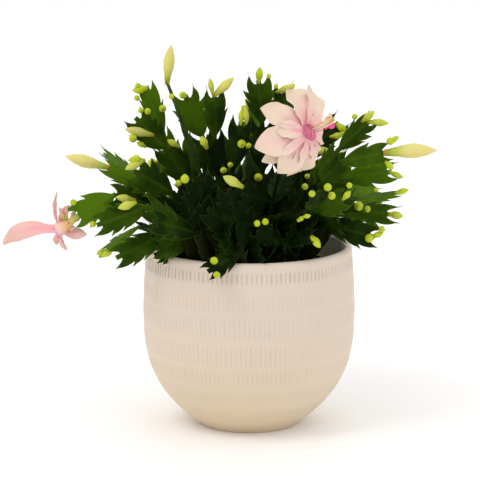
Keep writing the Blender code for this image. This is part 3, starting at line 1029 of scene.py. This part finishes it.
def pot_finish():
    """Cream glaze: warmer at the foot, greyer in the combed lines, and inside painted brighter and
    greener, as painted light and a painted green reflection of the plant.
    """
    look = bpy.context.scene.cactus_pot
    glaze = Finish("cream_glaze", specular_ior_level=0.3)
    comb, strong, inner = glaze.parts("mark")
    aside, _, height = glaze.split(glaze.place)
    cloud = glaze.noise(glaze.place, 14.0, 3.0)
    wash = glaze.noise(glaze.stretched(glaze.place, (1.0, 1.0, 5.0)), 26.0, 3.0)
    fine = glaze.noise(glaze.place, 700.0, 3.0, 0.6)
    rise = glaze.ramp(height * 7.5 + (cloud - 0.5) * 0.3, (0.05, 0.0), (0.62, 1.0))
    base = glaze.mix(rise, look.foot_glaze, look.glaze)
    worn = (0.55 - aside * 7.0 + (cloud - 0.5)).clamped()
    base = glaze.mix(((wash - 0.45) * 1.6).clamped() * 0.35, base, look.foot_glaze)
    base = glaze.mix((comb * (0.14 + worn * 0.26 + strong * 0.5)).clamped(), base, look.comb_stain)
    speck = glaze.ramp(glaze.noise(glaze.place, 330.0, 1.0), (0.74, 0.0), (0.79, 1.0))
    base = glaze.mix(speck * 0.22, base, SPECK)
    # painted light and painted reflection: the inner wall is a pale green-cream, so it looks lit
    # and shows the plant's green
    base = glaze.mix(inner, base, look.painted_light_inner_glaze)
    relief = wash * 0.5 + fine * 0.15 + cloud * 0.8
    return glaze.set(
        base_color=base, roughness=0.33 + wash * 0.16 + fine * 0.05,
        normal=glaze.bump(relief, 0.0008, 0.4),
    ).material


def soil_finish(name, dark, light):
    """Damp peat with paler fibres."""
    earth = Finish(name)
    clump = earth.noise(earth.place, 160.0, 4.0, 0.65)
    grit = earth.noise(earth.place, 900.0, 3.0, 0.7)
    colour = earth.mix(earth.ramp(clump, (0.35, 0.0), (0.68, 1.0)), dark, light)
    colour = earth.mix(earth.ramp(grit, (0.66, 0.0), (0.74, 0.6)), colour, FIBRE)
    return earth.set(
        base_color=colour, roughness=0.78 + clump * 0.2,
        normal=earth.bump(clump + grit * 0.5, 0.002, 0.8),
    ).material


def floor_finish():
    """Pale paper, very faintly clouded."""
    floor = bpy.context.scene.cactus_stage.floor
    paper = Finish("pale_floor", specular_ior_level=0.1)
    grain = paper.noise(paper.place, 3.0, 3.0)
    colour = paper.mix(grain, floor, tuple(part * 0.985 for part in floor))
    return paper.set(base_color=colour, roughness=0.75 + grain * 0.1).material


# ---------------------------------------------------------------- flowers


class Flower:
    """One flower: where it opens, the way it faces, and the chance that shapes its parts."""

    # A petal's width along its length, for a drawn-out tip and for a blunt one.
    PLACES = (0, 0.10, 0.30, 0.55, 0.74, 0.87, 0.95, 1)
    POINTED = (0.34, 0.48, 0.78, 1.0, 0.88, 0.58, 0.28, 0.03)
    BLUNT = (0.40, 0.52, 0.74, 0.92, 1.0, 0.96, 0.78, 0.30)
    LOWER_PETALS = (70, 240)  # between these angles the petals get more rose: partly blush, partly painted shade on the lower petals
    # Along the tube from stem to mouth: places, and widths as shares of the flower's.
    TUBE_WIDTHS = ((0, 0.12, 0.3, 0.6, 1), (0.34, 0.56, 0.60, 0.76, 1.34))
    # From the mouth inwards: depth, width as a share, and how far inside it is.
    CUP = (
        (0.6, 1.32, 0.1), (0.4, 1.20, 0.2), (-1.5, 1.06, 0.5), (-4.0, 0.80, 0.8), (-6.5, 0.30, 1),
    )

    THREAD_RADIUS = 0.28
    STYLE_WIDTHS = [0.5] * 11 + [1.2] * 4

    def __init__(self, name, mouth, facing, width):
        self.name, self.mouth, self.facing, self.width = name, mouth, facing, width
        self.open = name == "front"
        self.chance = random.Random("flower " + name)
        self.up = (Vector((0, 0, 1)) - facing * facing.z).normalized()
        self.left = facing.cross(self.up)

    def petal(self, number, row, silk):
        """One petal from its row of the plan."""
        angle, reach, broad, bent = row
        look, facing, chance = bpy.context.scene.cactus_flowers, self.facing, self.chance
        back = math.radians(bent)
        out = around(self.up, self.left, math.radians(angle))
        base = self.mouth + out * (self.width / 2 * 0.95) - facing * 0.8
        tip = self.mouth + out * (reach * math.cos(back)) - facing * (reach * math.sin(back))
        bend = (base + tip) / 2 + facing * (reach * 0.09)
        if not self.open and number == 1:
            bend.z += reach * 0.15
        upper = self.open and abs(angle) < 40
        spread = (look.petal_spread if self.open else 0.92) * (1.13 if upper else 1)
        blush_and_shade = chance.uniform(0.3, 1.0)
        # the lower petals' stronger rose is partly blush and partly painted shade
        blush_and_shade *= 1.6 if self.LOWER_PETALS[0] < angle < self.LOWER_PETALS[1] else 0.8
        body = Body()
        self.blade(body, base, bend, tip, broad * spread, blush_and_shade, 0.85 if upper else 0.12)
        made = body.make(f"bloom_{self.name}_petal_{number}", [silk], 70)
        cad = f"flower_{self.name}_petal_{number}"
        declare(made, "petal_pink", *([cad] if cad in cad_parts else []))

    def blade(self, body, base, bend, tip, width, blush_and_shade, blunt=0.0):
        """A thin cupped sheet along a curve, wavy at its margin and drawn out to a point."""
        rows, columns, chance = 30, 15, self.chance
        place = np.linspace(0, 1, rows)[:, None]
        base, tip = np.array(base), np.array(tip)
        turn = np.array(bend) * 2 - (base + tip) / 2
        line = base * (1 - place) ** 2 + turn * 2 * place * (1 - place) + tip * place**2
        along = np.gradient(line, axis=0)
        along /= np.linalg.norm(along, axis=1)[:, None]
        side = np.cross(along, np.array(self.facing))
        side /= np.linalg.norm(side, axis=1)[:, None]
        side, up = side[:, None], np.cross(side, along)[:, None]
        pointed, rounded = (np.interp(place, self.PLACES, w) for w in (self.POINTED, self.BLUNT))
        across = np.linspace(-1, 1, columns)[None]
        phase = chance.uniform(0, math.tau)
        half = width / 2 * (pointed + blunt * (rounded - pointed))
        half = half * (1 + 0.05 * np.sin(place * 19 + phase * 2) * place)
        ruffle = np.sin(place * 15 + phase + across) * np.abs(across) ** 2 * place * width * 0.075
        cup = (across**2 - 0.4) * half * chance.uniform(0.10, 0.34)
        keel = -0.35 * np.exp(-((across / 0.12) ** 2)) * (1 - place)
        sheet = line[:, None] + side * (across * half)[..., None]
        sheet = sheet + up * (cup + ruffle + keel)[..., None]
        thick = up * (0.24 * (1 - 0.55 * np.abs(across)) * np.ones_like(place))[..., None]
        grid = np.concatenate([sheet + thick, (sheet - thick)[:, ::-1]], axis=1)
        flat = np.stack(np.broadcast_arrays(across, place, 0), axis=-1)
        marks = np.concatenate([flat, flat[:, ::-1]], axis=1)
        body.rings(grid, marks, (chance.random(), blush_and_shade, 0 if self.open else 1))

    def pipe(self, body, line, widths, inner):
        """A round wall along a line of places; those with an inner share turn to the mouth."""
        rings, marks = [], []
        across = self.facing.orthogonal().normalized()
        angles = steps(0, math.tau, 28)[:-1]
        for i, (centre, wide) in enumerate(zip(line, widths)):
            along = line[min(i + 1, len(line) - 1)] - line[max(i - 1, 0)]
            if inner[i] > 0:
                along = self.facing
            along = along.normalized()
            side = (across - along * across.dot(along)).normalized()
            face = along.cross(side)
            rings.append([
                centre + around(side, face, a) * (wide / 2 * (1 + 0.04 * math.cos(5 * a)))
                for a in angles
            ])
            marks.append([(math.cos(a), i / (len(line) - 1), inner[i]) for a in angles])
        body.rings(np.array(rings), np.array(marks))

    def tube(self, stem, throat):
        """The tube from the stem's end to the cup of the mouth, and the small scales on it."""
        mouth, facing, width, chance = self.mouth, self.facing, self.width, self.chance
        start = stem.high - stem.along
        line = curve_points(start, (start + mouth) / 2 - facing * 1.5, mouth, 12)
        widths = list(np.interp(steps(0, 1, 12), *self.TUBE_WIDTHS) * width)
        deep = 1.0 if self.open else 0.35
        cup = [mouth + facing * (depth * deep) for depth, _, _ in self.CUP]
        body = Body()
        self.pipe(
            body, line + cup, widths + [width * share for _, share, _ in self.CUP],
            [0.0] * len(line) + [inner for _, _, inner in self.CUP],
        )
        scales = 9 if self.open else 7
        lift = Vector((0, 0, 0 if self.open else 4))
        for turn in steps(0, math.tau, scales)[:-1]:
            out = around(self.up, self.left, turn + chance.uniform(-0.2, 0.2))
            base = line[round(chance.uniform(0.35, 0.8) * 12)] + out * (width * 0.28)
            tip = base + out * chance.uniform(6, 11) - facing * chance.uniform(-1, 5) + lift
            wide = chance.uniform(3, 5)
            self.blade(body, base, (base + tip) / 2 + facing * 0.8, tip, wide, 0.3)
        made = body.make(f"bloom_{self.name}_tube", [throat], 60)
        declare(made, "flower_tube", f"flower_{self.name}_tube")

    def root(self, height):
        """Where the stamens and the style start, inside the tube."""
        aside = self.width * (0.78 if self.open else 0.1)
        return self.mouth - self.facing * 3 - self.left * aside + self.up * (self.width * height)

    def stamens(self, cream, pollen):
        """A bundle of threads with a head on each."""
        name, up, chance = self.name, self.up, self.chance
        lines, heads = [], []
        for _ in range(bpy.context.scene.cactus_flowers.stamen_count):
            turn, off = chance.uniform(0, math.tau), math.sqrt(chance.random())
            out = around(up, self.left, turn)
            start = self.root(0.30) + out * (self.width * 0.12 * off)
            end = self.mouth + self.facing * chance.uniform(16, 24)
            end += up * (self.width * 0.16 + 4) + out * (3.6 * off)
            line = curve_points(start, (start + end) / 2 - up * 1.2 + out * 0.4, end, 9)
            lines.append(line)
            heads.append((end, end - line[-2], chance.uniform(0.8, 1.2), chance.random()))
        made = run_tree(
            f"bloom_{name}_stamens", line_mesh(lines), strand_tree(),
            radius=self.THREAD_RADIUS * METRE, sides=6, material=cream,
        )
        declare(made, "stamen_cream", f"flower_{name}_stamens")
        body = Body()
        body.rings(*bud_grid((0, 0, -0.4), (0, 0, 1.8), 0.62, EGG_SHAPE, 6, 6, 0))
        grain = body.make("grain", [])
        made = scatter(f"bloom_{name}_anthers", grain, heads, pollen, 0.9, 1.2, 13)
        declare(made, "stamen_cream")

    def style(self, dark):
        """A thread with a lobed end."""
        start = self.root(0.10)
        end = self.mouth + self.facing * STYLE_LENGTH - self.left * 4
        end += self.up * (1 if self.open else 3)
        line = curve_points(start, (start + end) / 2 - self.up * 1.5, end, 14)
        body = Body()
        self.pipe(body, line, self.STYLE_WIDTHS, [0.0] * len(line))
        for turn in steps(0, math.tau, 7)[:-1]:
            lobe = end + self.facing * 3.8 + around(self.up, self.left, turn) * 1.9
            body.rings(*bud_grid(end - self.facing * 0.8, lobe, 1.4, EGG_SHAPE, 9, 8, 0))
        made = body.make(f"bloom_{self.name}_style", [dark], 60)
        declare(made, "style_magenta", f"flower_{self.name}_style")


# ---------------------------------------------------------------- what a user would change


def colour(name, about, *default):
    return FloatVectorProperty(
        name=name, description=about, subtype="COLOR", size=3, min=0, max=1, default=default
    )


def amount(name, about, default, least=0.0, **more):
    return FloatProperty(name=name, description=about, default=default, min=least, **more)


def tally(name, about, default, least):
    return IntProperty(name=name, description=about, default=default, min=least)


class CactusPotSettings(bpy.types.PropertyGroup):
    comb_count: tally("Comb lines", "Lines scratched round each band", 136, 20)
    comb_depth: amount("Comb depth", "How deep the lines are", 0.0005, unit="LENGTH", precision=4)
    glaze: colour("Glaze", "Cream of the pot's upper part", 0.66, 0.55, 0.455)
    foot_glaze: colour("Foot glaze", "Warmer cream near the foot", 0.70, 0.57, 0.40)
    # a pale green-cream for the inner wall: painted light, and a painted green reflection of the
    # plant
    painted_light_inner_glaze: colour("Inner glaze", "Green-grey of the inner wall", 0.92, 0.92, 0.76)
    comb_stain: colour("Comb stain", "Grey left in the comb's lines", 0.30, 0.28, 0.24)


class CactusStemSettings(bpy.types.PropertyGroup):
    notch_depth: amount("Notch depth", "A notch's share of the half width", 0.28, max=0.6)
    claw_length: amount(
        "Claw length", "How far the two end teeth stand past the joint", 0.0105,
        unit="LENGTH", precision=4,
    )
    green: colour("Green", "Green of the outer segments", 0.068, 0.150, 0.003)
    # a near-black green, for the darker tone of some segments and for the painted shade in the
    # plant's heart
    dark_and_painted_shade_green: colour("Dark green", "Green in the heart of the plant", 0.0030, 0.0095, 0.0004)
    margin_green: colour("Margin green", "Pale margin and rib", 0.11, 0.20, 0.010)


class CactusBudSettings(bpy.types.PropertyGroup):
    fullness: amount("Fullness", "Small buds' width, against the plan's", 1.1, 0.5, max=2)
    lime: colour("Lime", "Green of a young bud", 0.30, 0.43, 0.006)
    young_tip: colour("Young tip", "Tip of a young bud", 0.46, 0.54, 0.015)
    cream: colour("Cream", "Body of a ripe bud", 0.70, 0.61, 0.20)
    tip: colour("Tip", "Rosy tip of a ripe bud", 0.82, 0.66, 0.42)


class CactusFlowerSettings(bpy.types.PropertyGroup):
    petal_spread: amount("Petal spread", "Petal width, against the plan's", 1.5, 0.5, max=2)
    stamen_count: tally("Stamens", "Threads in a flower's bundle", 26, 3)
    petal: colour("Petal", "Pale rose of the petals", 0.80, 0.53, 0.48)
    petal_cream: colour("Petal cream", "Cream between the veins", 0.78, 0.66, 0.52)
    petal_tip: colour("Petal tip", "Straw at the petal's end", 0.68, 0.58, 0.36)
    rose: colour("Rose", "Streaks at the petal's foot", 0.84, 0.33, 0.40)
    magenta: colour("Magenta", "Ring round the mouth", 0.74, 0.10, 0.33)
    throat: colour("Throat", "Pink inside the mouth", 0.95, 0.40, 0.54)


class CactusStageSettings(bpy.types.PropertyGroup):
    floor: colour("Floor", "Near-white of the floor", 0.96, 0.955, 0.95)
    key_power: amount("Key light", "Soft light from the upper left", 22, unit="POWER")
    fill_power: amount("Fill light", "Weaker light from the right", 5, unit="POWER")
    sky: amount("Sky", "Strength of the pale surroundings", 1.0)


# ---------------------------------------------------------------- pieces


class CACTUS_OT_pot(bpy.types.Operator):
    """Turn the pot, and comb bands of short lines round it"""

    bl_idname = "cactus.pot"
    bl_label = "Pot"

    # Each band of comb lines: its foot, its top and how deep it is cut. The last is the darkest.
    BANDS = (
        (14, 21.5, 0.5), (28, 37.5, 0.5), (43.5, 55, 0.7), (58, 74, 0.6), (79, 94.5, 0.65),
        (97, 110, 0.6), (117, 127, 1.0),
    )
    FOOT_RING = ((9, 1.4), (7, 1.1), (5.5, 0.0), (1.6, 0.0))  # inward from the foot, and height
    FOOT_EDGE = 1.6
    SIDES = 620

    def profile(self):
        """Rows of radius, height and inner share, from the middle of the foot to the floor's."""
        edge, lip = pot_radius(self.FOOT_EDGE), POT_WALL / 2
        rings = [(0.4, 1.4, 0)] + [(POT_FOOT - inward, z, 0) for inward, z in self.FOOT_RING]
        rings += [(edge - 1.0, 0.35, 0), (edge - 0.3, 0.9, 0)]
        rings += [(pot_radius(z), z, 0) for z in steps(self.FOOT_EDGE, POT_HEIGHT - lip, 112)]
        for turn in steps(0, 180, 10)[1:]:
            out, up = lip * math.cos(math.radians(turn)), lip * math.sin(math.radians(turn))
            rings.append((POT_MOUTH - lip + out, POT_HEIGHT - lip + up, max(0, turn - 60) / 120))
        low = POT_FLOOR + 6
        rings += [(pot_radius(z) - POT_WALL, z, 1) for z in steps(POT_HEIGHT - lip, low, 16)[1:]]
        inner = pot_radius(low) - POT_WALL
        rings += [(inner - 2, POT_FLOOR + 2, 1), (inner - 6, POT_FLOOR, 1), (0.4, POT_FLOOR, 1)]
        return rings

    def comb_tree(self):
        """Scratches short upright lines round the wall, band by band, and keeps where they are."""
        tree, graph, given = new_tree("comb", {
            "Pot": "Geometry", "Count": "Float", "Depth": "Float", "Material": "Material",
        })
        place = graph.add("GeometryNodeInputPosition").out(0)
        x, y, z = graph.split(place)
        height = z / METRE
        turn = graph.add("ShaderNodeMath", {"operation": "ARCTAN2"}, {0: y, 1: x}).out(0)
        sway = graph.noise(place, 60.0, 2.0)
        uneven = graph.noise(place, 22.0, 2.0)
        wander = (uneven - 0.5) * 3.0
        lines = 0.0
        for number, (low, high, force) in enumerate(self.BANDS):
            above = ((height - low + wander) / 1.6).clamped()
            band = above * ((high - height + wander) / 1.6).clamped()
            wave = (turn * given.out("Count") + number * 1.9 + (sway - 0.5) * 2.2).sine()
            groove = ((wave - 0.30) * 2.2).clamped()
            lines = band * groove * (force * (uneven * 1.6 - 0.1)).clamped() + lines
        throwing = (height * 0.30 + uneven).sine() * 0.12
        outer = 1 - graph.split(graph.carried("mark"))[2]
        push = (throwing * 0.0006 - lines * given.out("Depth")) * outer
        links = {0: graph.add("GeometryNodeInputNormal").out(0), "Scale": push}
        offset = graph.add("ShaderNodeVectorMath", {"operation": "SCALE"}, links).out(0)
        links = {"Geometry": given.out("Pot"), "Offset": offset}
        moved = graph.add("GeometryNodeSetPosition", {}, links).out(0)
        kept = graph.add(
            "GeometryNodeStoreNamedAttribute", {"data_type": "FLOAT_VECTOR", "domain": "POINT"},
            {
                "Geometry": moved, "Name": "mark",
                "Value": graph.vector(lines * outer, band * outer, 1 - outer),
            },
        )
        end_tree(graph, kept.out(0), given.out("Material"))
        return tree

    def execute(self, context):
        look = context.scene.cactus_pot
        rows = np.array(self.profile())
        grid = turned(rows, self.SIDES)
        marks = np.zeros_like(grid)
        marks[..., 2] = rows[:, 2:]
        body = Body()
        body.rings(grid, marks)
        made = rework(
            "combed_pot", body, self.comb_tree(),
            count=float(look.comb_count), depth=look.comb_depth, material=pot_finish(),
        )
        declare(made, "pot_glaze", "pot")
        return {"FINISHED"}


class CACTUS_OT_soil(bpy.types.Operator):
    """Fill the pot with peat, and strew crumbs over it"""

    bl_idname = "cactus.soil"
    bl_label = "Soil"

    SIDES = 200
    HEAVE = 0.009
    CRUMBS = 520

    def bed_tree(self):
        """Heaves the bed's top with noise, and leaves its rim and its sides."""
        inputs = {"Bed": "Geometry", "Height": "Float", "Material": "Material"}
        tree, graph, given = new_tree("heave", inputs)
        place = graph.add("GeometryNodeInputPosition").out(0)
        top, _, _ = graph.split(graph.carried("mark"))
        rough = graph.noise(place, 55.0, 3.0) + graph.noise(place, 240.0, 3.0) * 0.45 - 0.68
        offset = graph.vector(z=rough * given.out("Height") * top)
        links = {"Geometry": given.out("Bed"), "Offset": offset}
        moved = graph.add("GeometryNodeSetPosition", {}, links).out(0)
        end_tree(graph, moved, given.out("Material"))
        return tree

    def execute(self, context):
        self.bed()
        self.crumbs()
        return {"FINISHED"}

    def bed(self):
        edge, low = soil_edge(), POT_FLOOR + GAP
        rows = [(pot_radius(z) - POT_WALL - GAP, z, 0) for z in steps(low, SOIL_TOP - 1.5, 8)]
        rows += [(r, soil_height(r), min(1, (edge - r) / 5)) for r in steps(edge - 1.2, 0.5, 46)]
        rows = np.array(rows)
        grid = turned(rows, self.SIDES)
        marks = np.zeros_like(grid)
        marks[..., 0] = rows[:, 2:]
        body = Body()
        body.rings(grid, marks)
        earth = soil_finish("potting_soil", PEAT, PEAT_LIT)
        made = rework("soil_bed", body, self.bed_tree(), height=self.HEAVE, material=earth)
        declare(made, "potting_soil", "soil")

    def crumbs(self):
        chance = random.Random(7)
        spots = []
        for _ in range(self.CRUMBS):
            radius = (soil_edge() - 3) * math.sqrt(chance.random())
            turn = chance.uniform(0, math.tau)
            height = soil_height(radius) + chance.uniform(-0.6, 0.9)
            place = (radius * math.cos(turn), radius * math.sin(turn), height)
            way = (chance.uniform(-1, 1), chance.uniform(-1, 1), chance.uniform(0.1, 1))
            spots.append((place, way, chance.choice((0.6, 0.8, 1.0, 1.6)), chance.random()))
        body = Body()
        body.rings(*bud_grid((0, 0, -1.3), (0, 0, 1.5), 1.3, EGG_SHAPE, 5, 6, 2, 0.3))
        crumb = body.make("crumb", [], 30)
        peat = soil_finish("peat_crumb", CRUMB, CRUMB_LIT)
        declare(scatter("soil_crumbs", crumb, spots, peat, 0.6, 1.5, 3), "potting_soil")


class CACTUS_OT_stems(bpy.types.Operator):
    """Grow every shoot: its flat toothed segments, and the bud on its end"""

    bl_idname = "cactus.stems"
    bl_label = "Stems"

    def execute(self, context):
        skin, bud_skin = stem_finish(), bud_finish()
        for name, _, _, end, _, _, bud in SHOOTS:
            body = Body()
            for segment in itertools.chain(*plant()[name]):
                segment.add_to(body)
            if bud:
                self.end_bud(body, name, Vector(end), Vector(bud[0]), bud[1])
            declare(body.make("stem_" + name, [skin, bud_skin]), "stem_green", "shoot_" + name)
        return {"FINISHED"}

    def end_bud(self, body, name, end, tip, width):
        """A bud at a shoot's end: the longer it is, the riper and the fuller."""
        chance = random.Random("bud " + name)
        reach = (tip - end).length
        start = end - (tip - end).normalized() * BUD_SUNK
        radius = width * (0.37 + width * 0.018)
        bend = chance.uniform(-1, 1) * reach / 40
        grid, marks = bud_grid(start, tip, radius, BUD_SHAPE, 34, 24, 4, bend)
        body.rings(grid, marks, (chance.random(), between(reach, 12, 24), 0), 1)


class CACTUS_OT_buds(bpy.types.Operator):
    """Set small buds on the segments, most of them round"""

    bl_idname = "cactus.buds"
    bl_label = "Small buds"

    BEHIND = 30  # the table of buds stops this far back

    def back_buds(self):
        """Buds by chance on the ends of the shoots that the table of buds doesn't reach."""
        for name, shoot in plant().items():
            chance = random.Random("buds " + name)
            for segment in shoot[0][-1:] + shoot[1]:
                if segment.high.y < self.BEHIND or chance.random() < 0.35:
                    continue
                for side in chance.sample((-2.8, 0.4, 3.2), chance.choice((1, 2))):
                    place = segment.spot(segment.reach - 0.6, side)
                    way = segment.along + segment.side * (side * 0.3) + Vector((0, 0, 0.2))
                    yield place, way.normalized() * chance.uniform(4.5, 8), chance.uniform(3.6, 5.4)

    def execute(self, context):
        fullness = context.scene.cactus_buds.fullness
        buds = list(self.back_buds())
        for aside, up, lean, rise, width in BUDS:
            reach = math.hypot(lean, rise)
            forward = max(0.25 * reach, width - reach * 0.8)
            buds.append((seat(aside, up), Vector((lean, -forward, rise + forward * 0.25)), width))
        body = Body()
        chance = random.Random(5)
        for base, way, width in buds:
            long = way.length > width * 1.5
            form = (BUD_SHAPE, 20, 16, 3) if long else (EGG_SHAPE, 14, 14, 2)
            start = base - way.normalized() * BUD_SUNK
            grid, marks = bud_grid(start, base + way, width / 2 * fullness, *form)
            body.rings(grid, marks, (chance.random(), between(way.length, 8.4, 22.4), 0))
        declare(body.make("small_buds", [bud_finish()]), "stem_green")
        return {"FINISHED"}


class CACTUS_OT_bristles(bpy.types.Operator):
    """Set a tuft of short hairs in each areole"""

    bl_idname = "cactus.bristles"
    bl_label = "Bristles"

    HAIRS = 6

    def execute(self, context):
        spots = []
        for shoot in plant().values():
            for segment in itertools.chain(*shoot):
                for along, across in segment.areoles:
                    way = segment.along + segment.side * float(np.sign(across))
                    size = 0.5 if across else 0.8
                    place = segment.spot(along - 0.2, across * 0.99)
                    spots.append((place, way, size, segment.tone))
        hairs = bristle_finish()
        declare(scatter("areole_bristles", self.tuft(), spots, hairs, 0.8, 1.3, 9), "stem_green")
        return {"FINISHED"}

    def tuft(self):
        """A few three-sided spikes, leaning apart."""
        body = Body()
        chance = random.Random(11)
        for turn in steps(0, math.tau, self.HAIRS)[:-1]:
            lean = chance.uniform(0.3, 0.8)
            tip = np.array((math.cos(turn) * lean, math.sin(turn) * lean, 1.0))
            tip *= chance.uniform(1.5, 2.3)
            corners = np.array([(math.cos(turn + a), math.sin(turn + a), 0) for a in (0, 2.1, 4.2)])
            grid = np.array([corners * 0.14, corners * 0.09 + tip * 0.6, corners * 0.02 + tip])
            body.rings(grid, np.zeros_like(grid))
        return body.make("tuft", [])


class CACTUS_OT_flowers(bpy.types.Operator):
    """Open the flowers: tube, petals, stamens and style"""

    bl_idname = "cactus.flowers"
    bl_label = "Flowers"

    def execute(self, context):
        silk, throat = petal_finish(), throat_finish()
        cream = stamen_finish("stamen_cream", THREAD_CREAM, THREAD_ROSE)
        pollen = stamen_finish("anther_straw", POLLEN, POLLEN_RUST)
        dark = stamen_finish("style_magenta", STYLE_DEEP, STYLE_PALE)
        for name, shoot, mouth, facing, width, petals in FLOWERS:
            flower = Flower(name, Vector(mouth), Vector(facing).normalized(), width)
            for number, row in enumerate(petals + INNER_PETALS.get(name, ()), 1):
                flower.petal(number, row, silk)
            flower.tube(plant()[shoot][0][-1], throat)
            flower.stamens(cream, pollen)
            flower.style(dark)
        return {"FINISHED"}


class CACTUS_OT_stage(bpy.types.Operator):
    """Lay the floor, and set the lights, the surroundings and the camera"""

    bl_idname = "cactus.stage"
    bl_label = "Stage"

    FLOOR_RADIUS, FLOOR_SIDES = 12.0, 96
    LIT_PLACE = Vector((0, 0, 0.13))
    FAR = 100.0

    def execute(self, context):
        look = context.scene.cactus_stage
        scene = context.scene
        ring = [
            (self.FLOOR_RADIUS * math.cos(a), self.FLOOR_RADIUS * math.sin(a), 0.0)
            for a in steps(0, math.tau, self.FLOOR_SIDES)[:-1]
        ]
        data = bpy.data.meshes.new("floor")
        data.from_pydata(ring, [], [list(range(self.FLOOR_SIDES))])
        data.materials.append(floor_finish())
        new_object("floor", data)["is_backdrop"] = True
        for name, place, power, size, tint in (
            ("key", (-1.5, -1.2, 2.8), look.key_power, 1.3, (1.0, 0.96, 0.90)),
            ("fill", (1.9, -1.4, 1.2), look.fill_power, 1.6, (0.96, 0.98, 1.0)),
            ("back", (0.4, 1.9, 2.0), look.fill_power, 1.6, (1.0, 1.0, 1.0)),
        ):
            lamp = bpy.data.lights.new(name, "AREA")
            lamp.energy, lamp.size, lamp.color = power, size, tint
            self.point(new_object(name, lamp), Vector(place), self.LIT_PLACE)
        world = bpy.data.worlds.new("pale")
        world.use_nodes = True
        sky = world.node_tree.nodes["Background"]
        sky.inputs["Color"].default_value = (1.0, 1.0, 1.0, 1.0)
        sky.inputs["Strength"].default_value = look.sky
        scene.world = world
        scene.view_settings.view_transform = "Standard"
        lens = bpy.data.cameras.new("camera")
        lens.lens, lens.clip_end = LENS, self.FAR
        scene.camera = new_object("camera", lens)
        self.point(scene.camera, EYE * METRE, AIM * METRE)
        return {"FINISHED"}

    def point(self, thing, place, aim):
        """Put a lamp or the camera at a place, and turn it to another."""
        thing.location = place
        thing.rotation_euler = (aim - place).to_track_quat("-Z", "Y").to_euler()


class CACTUS_PT_panel(bpy.types.Panel):
    """Lists the operators in the order in which they are used"""

    bl_idname = "CACTUS_PT_panel"
    bl_label = "Potted Christmas Cactus"
    bl_space_type = "VIEW_3D"
    bl_region_type = "UI"
    bl_category = "Cactus"

    def draw(self, context):
        for operator in OPERATORS:
            self.layout.operator(operator.bl_idname)
        for key in SETTINGS:
            box = self.layout.box()
            settings = getattr(context.scene, key)
            for label in settings.__annotations__:
                box.prop(settings, label)


OPERATORS = (
    CACTUS_OT_stage, CACTUS_OT_pot, CACTUS_OT_soil, CACTUS_OT_stems, CACTUS_OT_buds,
    CACTUS_OT_bristles, CACTUS_OT_flowers,
)
SETTINGS = {
    "cactus_pot": CactusPotSettings,
    "cactus_stems": CactusStemSettings,
    "cactus_buds": CactusBudSettings,
    "cactus_flowers": CactusFlowerSettings,
    "cactus_stage": CactusStageSettings,
}


def register():
    for group in SETTINGS.values():
        bpy.utils.register_class(group)
    for kind in OPERATORS + (CACTUS_PT_panel,):
        bpy.utils.register_class(kind)
    for key, group in SETTINGS.items():
        setattr(bpy.types.Scene, key, PointerProperty(type=group))


def unregister():
    for key in SETTINGS:
        delattr(bpy.types.Scene, key)
    for kind in reversed(tuple(SETTINGS.values()) + OPERATORS + (CACTUS_PT_panel,)):
        bpy.utils.unregister_class(kind)


def main():
    register()
    for operator in OPERATORS:
        group, name = operator.bl_idname.split(".")
        getattr(getattr(bpy.ops, group), name)()
    sizes = {"cad": CAD_BOX, "visual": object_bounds()}
    {key: [list(corner) for corner in box] for key, box in sizes.items()}


if __name__ == "__main__":
    main()
